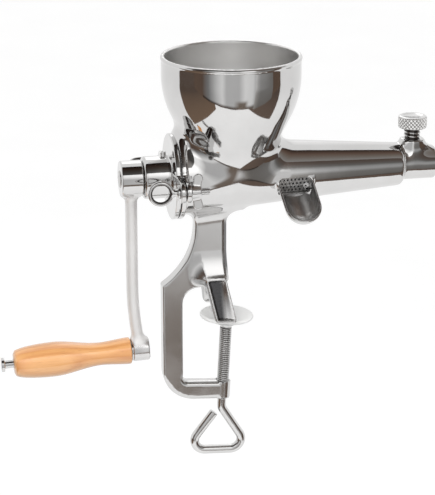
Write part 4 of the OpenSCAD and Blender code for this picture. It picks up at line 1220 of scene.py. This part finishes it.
def make_wall():
    """Front wall with a bright middle and dark wings."""
    brown = (0.135, 0.095, 0.073)
    bright = glow("bright_wall", X=[
        (WALL_LEFT, brown), (-0.90, 0.24), (-0.68, 0.50), (-0.50, 0.78), (-0.39, 0.95), (-0.28, 0.64),
        (0.02, 0.62), (0.15, 0.95), (0.34, 0.86), (0.44, 0.55), (0.55, 0.33), (0.72, (0.18, 0.16, 0.15)),
        (WALL_RIGHT, brown)], Z=[
        (CARD_LOW, (0.16, 0.125, 0.105)), (-0.405, (0.22, 0.185, 0.165)), (-0.34, 0.95), (0.22, 0.95),
        (0.36, 1.5), (0.5, 1.9), (WALL_TOP, 1.9)],
        spot=((0.204, 0.162, 0.133), {"X": [(-0.10, 0.0), (0.03, 1.0), (0.17, 1.0), (0.27, 0.0)],
                                      "Z": [(-0.36, 1.0), (-0.28, 0.95), (-0.20, 0.0)]}))
    wing = glow("dark_wall", Z=[(CARD_LOW, (0.14, 0.095, 0.07)), (WALL_TOP, (0.09, 0.068, 0.06))])
    for name, sides, material in (("wall_left", (-STUDIO_HALF, WALL_LEFT), wing),
                                  ("wall", (WALL_LEFT, WALL_RIGHT), bright),
                                  ("wall_right", (WALL_RIGHT, STUDIO_HALF), wing)):
        upright_card(name, WALL_Y, sides, (CARD_LOW, WALL_TOP), material)


def make_overhead():
    """Dark card from the wall's top to above the press."""
    half, back, high = 2.0, 0.07, 0.95
    material = glow("overhead", Y=[
        (WALL_Y, (0.38, 0.37, 0.36)), (-0.55, (0.27, 0.25, 0.235)), (-0.37, (0.20, 0.165, 0.14)),
        (-0.20, (0.15, 0.10, 0.078)), (-0.03, (0.07, 0.046, 0.036)), (back, (0.025, 0.018, 0.016))],
        X=[(0.06, 0.25), (0.22, 1.0)])
    card("overhead", [(-half, WALL_Y, WALL_TOP), (half, WALL_Y, WALL_TOP), (half, back, high),
                      (-half, back, high)], material)


def make_near_card():
    """Card that the barrel's front and the collar mirror."""
    left, right, low, top = 0.175, 0.55, -0.10, 0.45
    material = glow("near_card", X=[(left, 1.5), (0.205, 1.0), (0.24, 0.75), (right, 0.7)], Z=[
        (low, (0.24, 0.225, 0.21)), (0.06, (0.30, 0.29, 0.28)), (0.13, 0.58), (0.18, 0.52),
        (0.25, (0.22, 0.21, 0.20)), (0.33, (0.17, 0.14, 0.125)), (top, (0.15, 0.11, 0.09))])
    upright_card("near_card", -0.35, (left, right), (low, top), material)


def make_behind():
    """Card behind and above the press, which the bowl's inside mirrors."""
    left, right = -0.25, 0.8
    material = glow("behind", X=[(left, 0.8), (0.05, 1.3), (0.15, 2.0), (0.24, 2.0), (0.34, 1.2), (0.5, 1.1),
                                 (right, 0.9)])
    upright_card("behind", 0.9, (left, right), (0.42, 1.4), material)


def make_floor_panels():
    """Dark panels on the floor at both sides."""
    left = [(-0.52, 0.13), (-STUDIO_HALF, 0.75), (-STUDIO_HALF, WALL_Y), (-0.66, WALL_Y), (-0.52, -0.64)]
    right = [(0.28, WALL_Y), (2.85, WALL_Y), (0.62, -0.17), (0.505, -0.36)]
    for name, outline, shades in (
            ("left_panel", left, [(-2.0, (0.11, 0.08, 0.064)), (-0.52, (0.22, 0.15, 0.105))]),
            ("right_panel", right, [(0.28, (0.17, 0.125, 0.10)), (1.6, (0.11, 0.08, 0.066))])):
        card(name, [(x, y, PANEL_Z) for x, y in outline], glow(name, X=shades))


make_floor()
make_world()
make_wall()
make_overhead()
make_near_card()
make_behind()
make_floor_panels()
make_lamp("key", (-0.6, -1.2, 0.75), (0.0, 0.0, 0.05), 0.8, 14.0)
make_lamp("fill", (0.9, -1.0, 0.5), (0.0, 0.0, 0.05), 0.9, 5.0)

bpy.context.scene.view_settings.view_transform = "Standard"
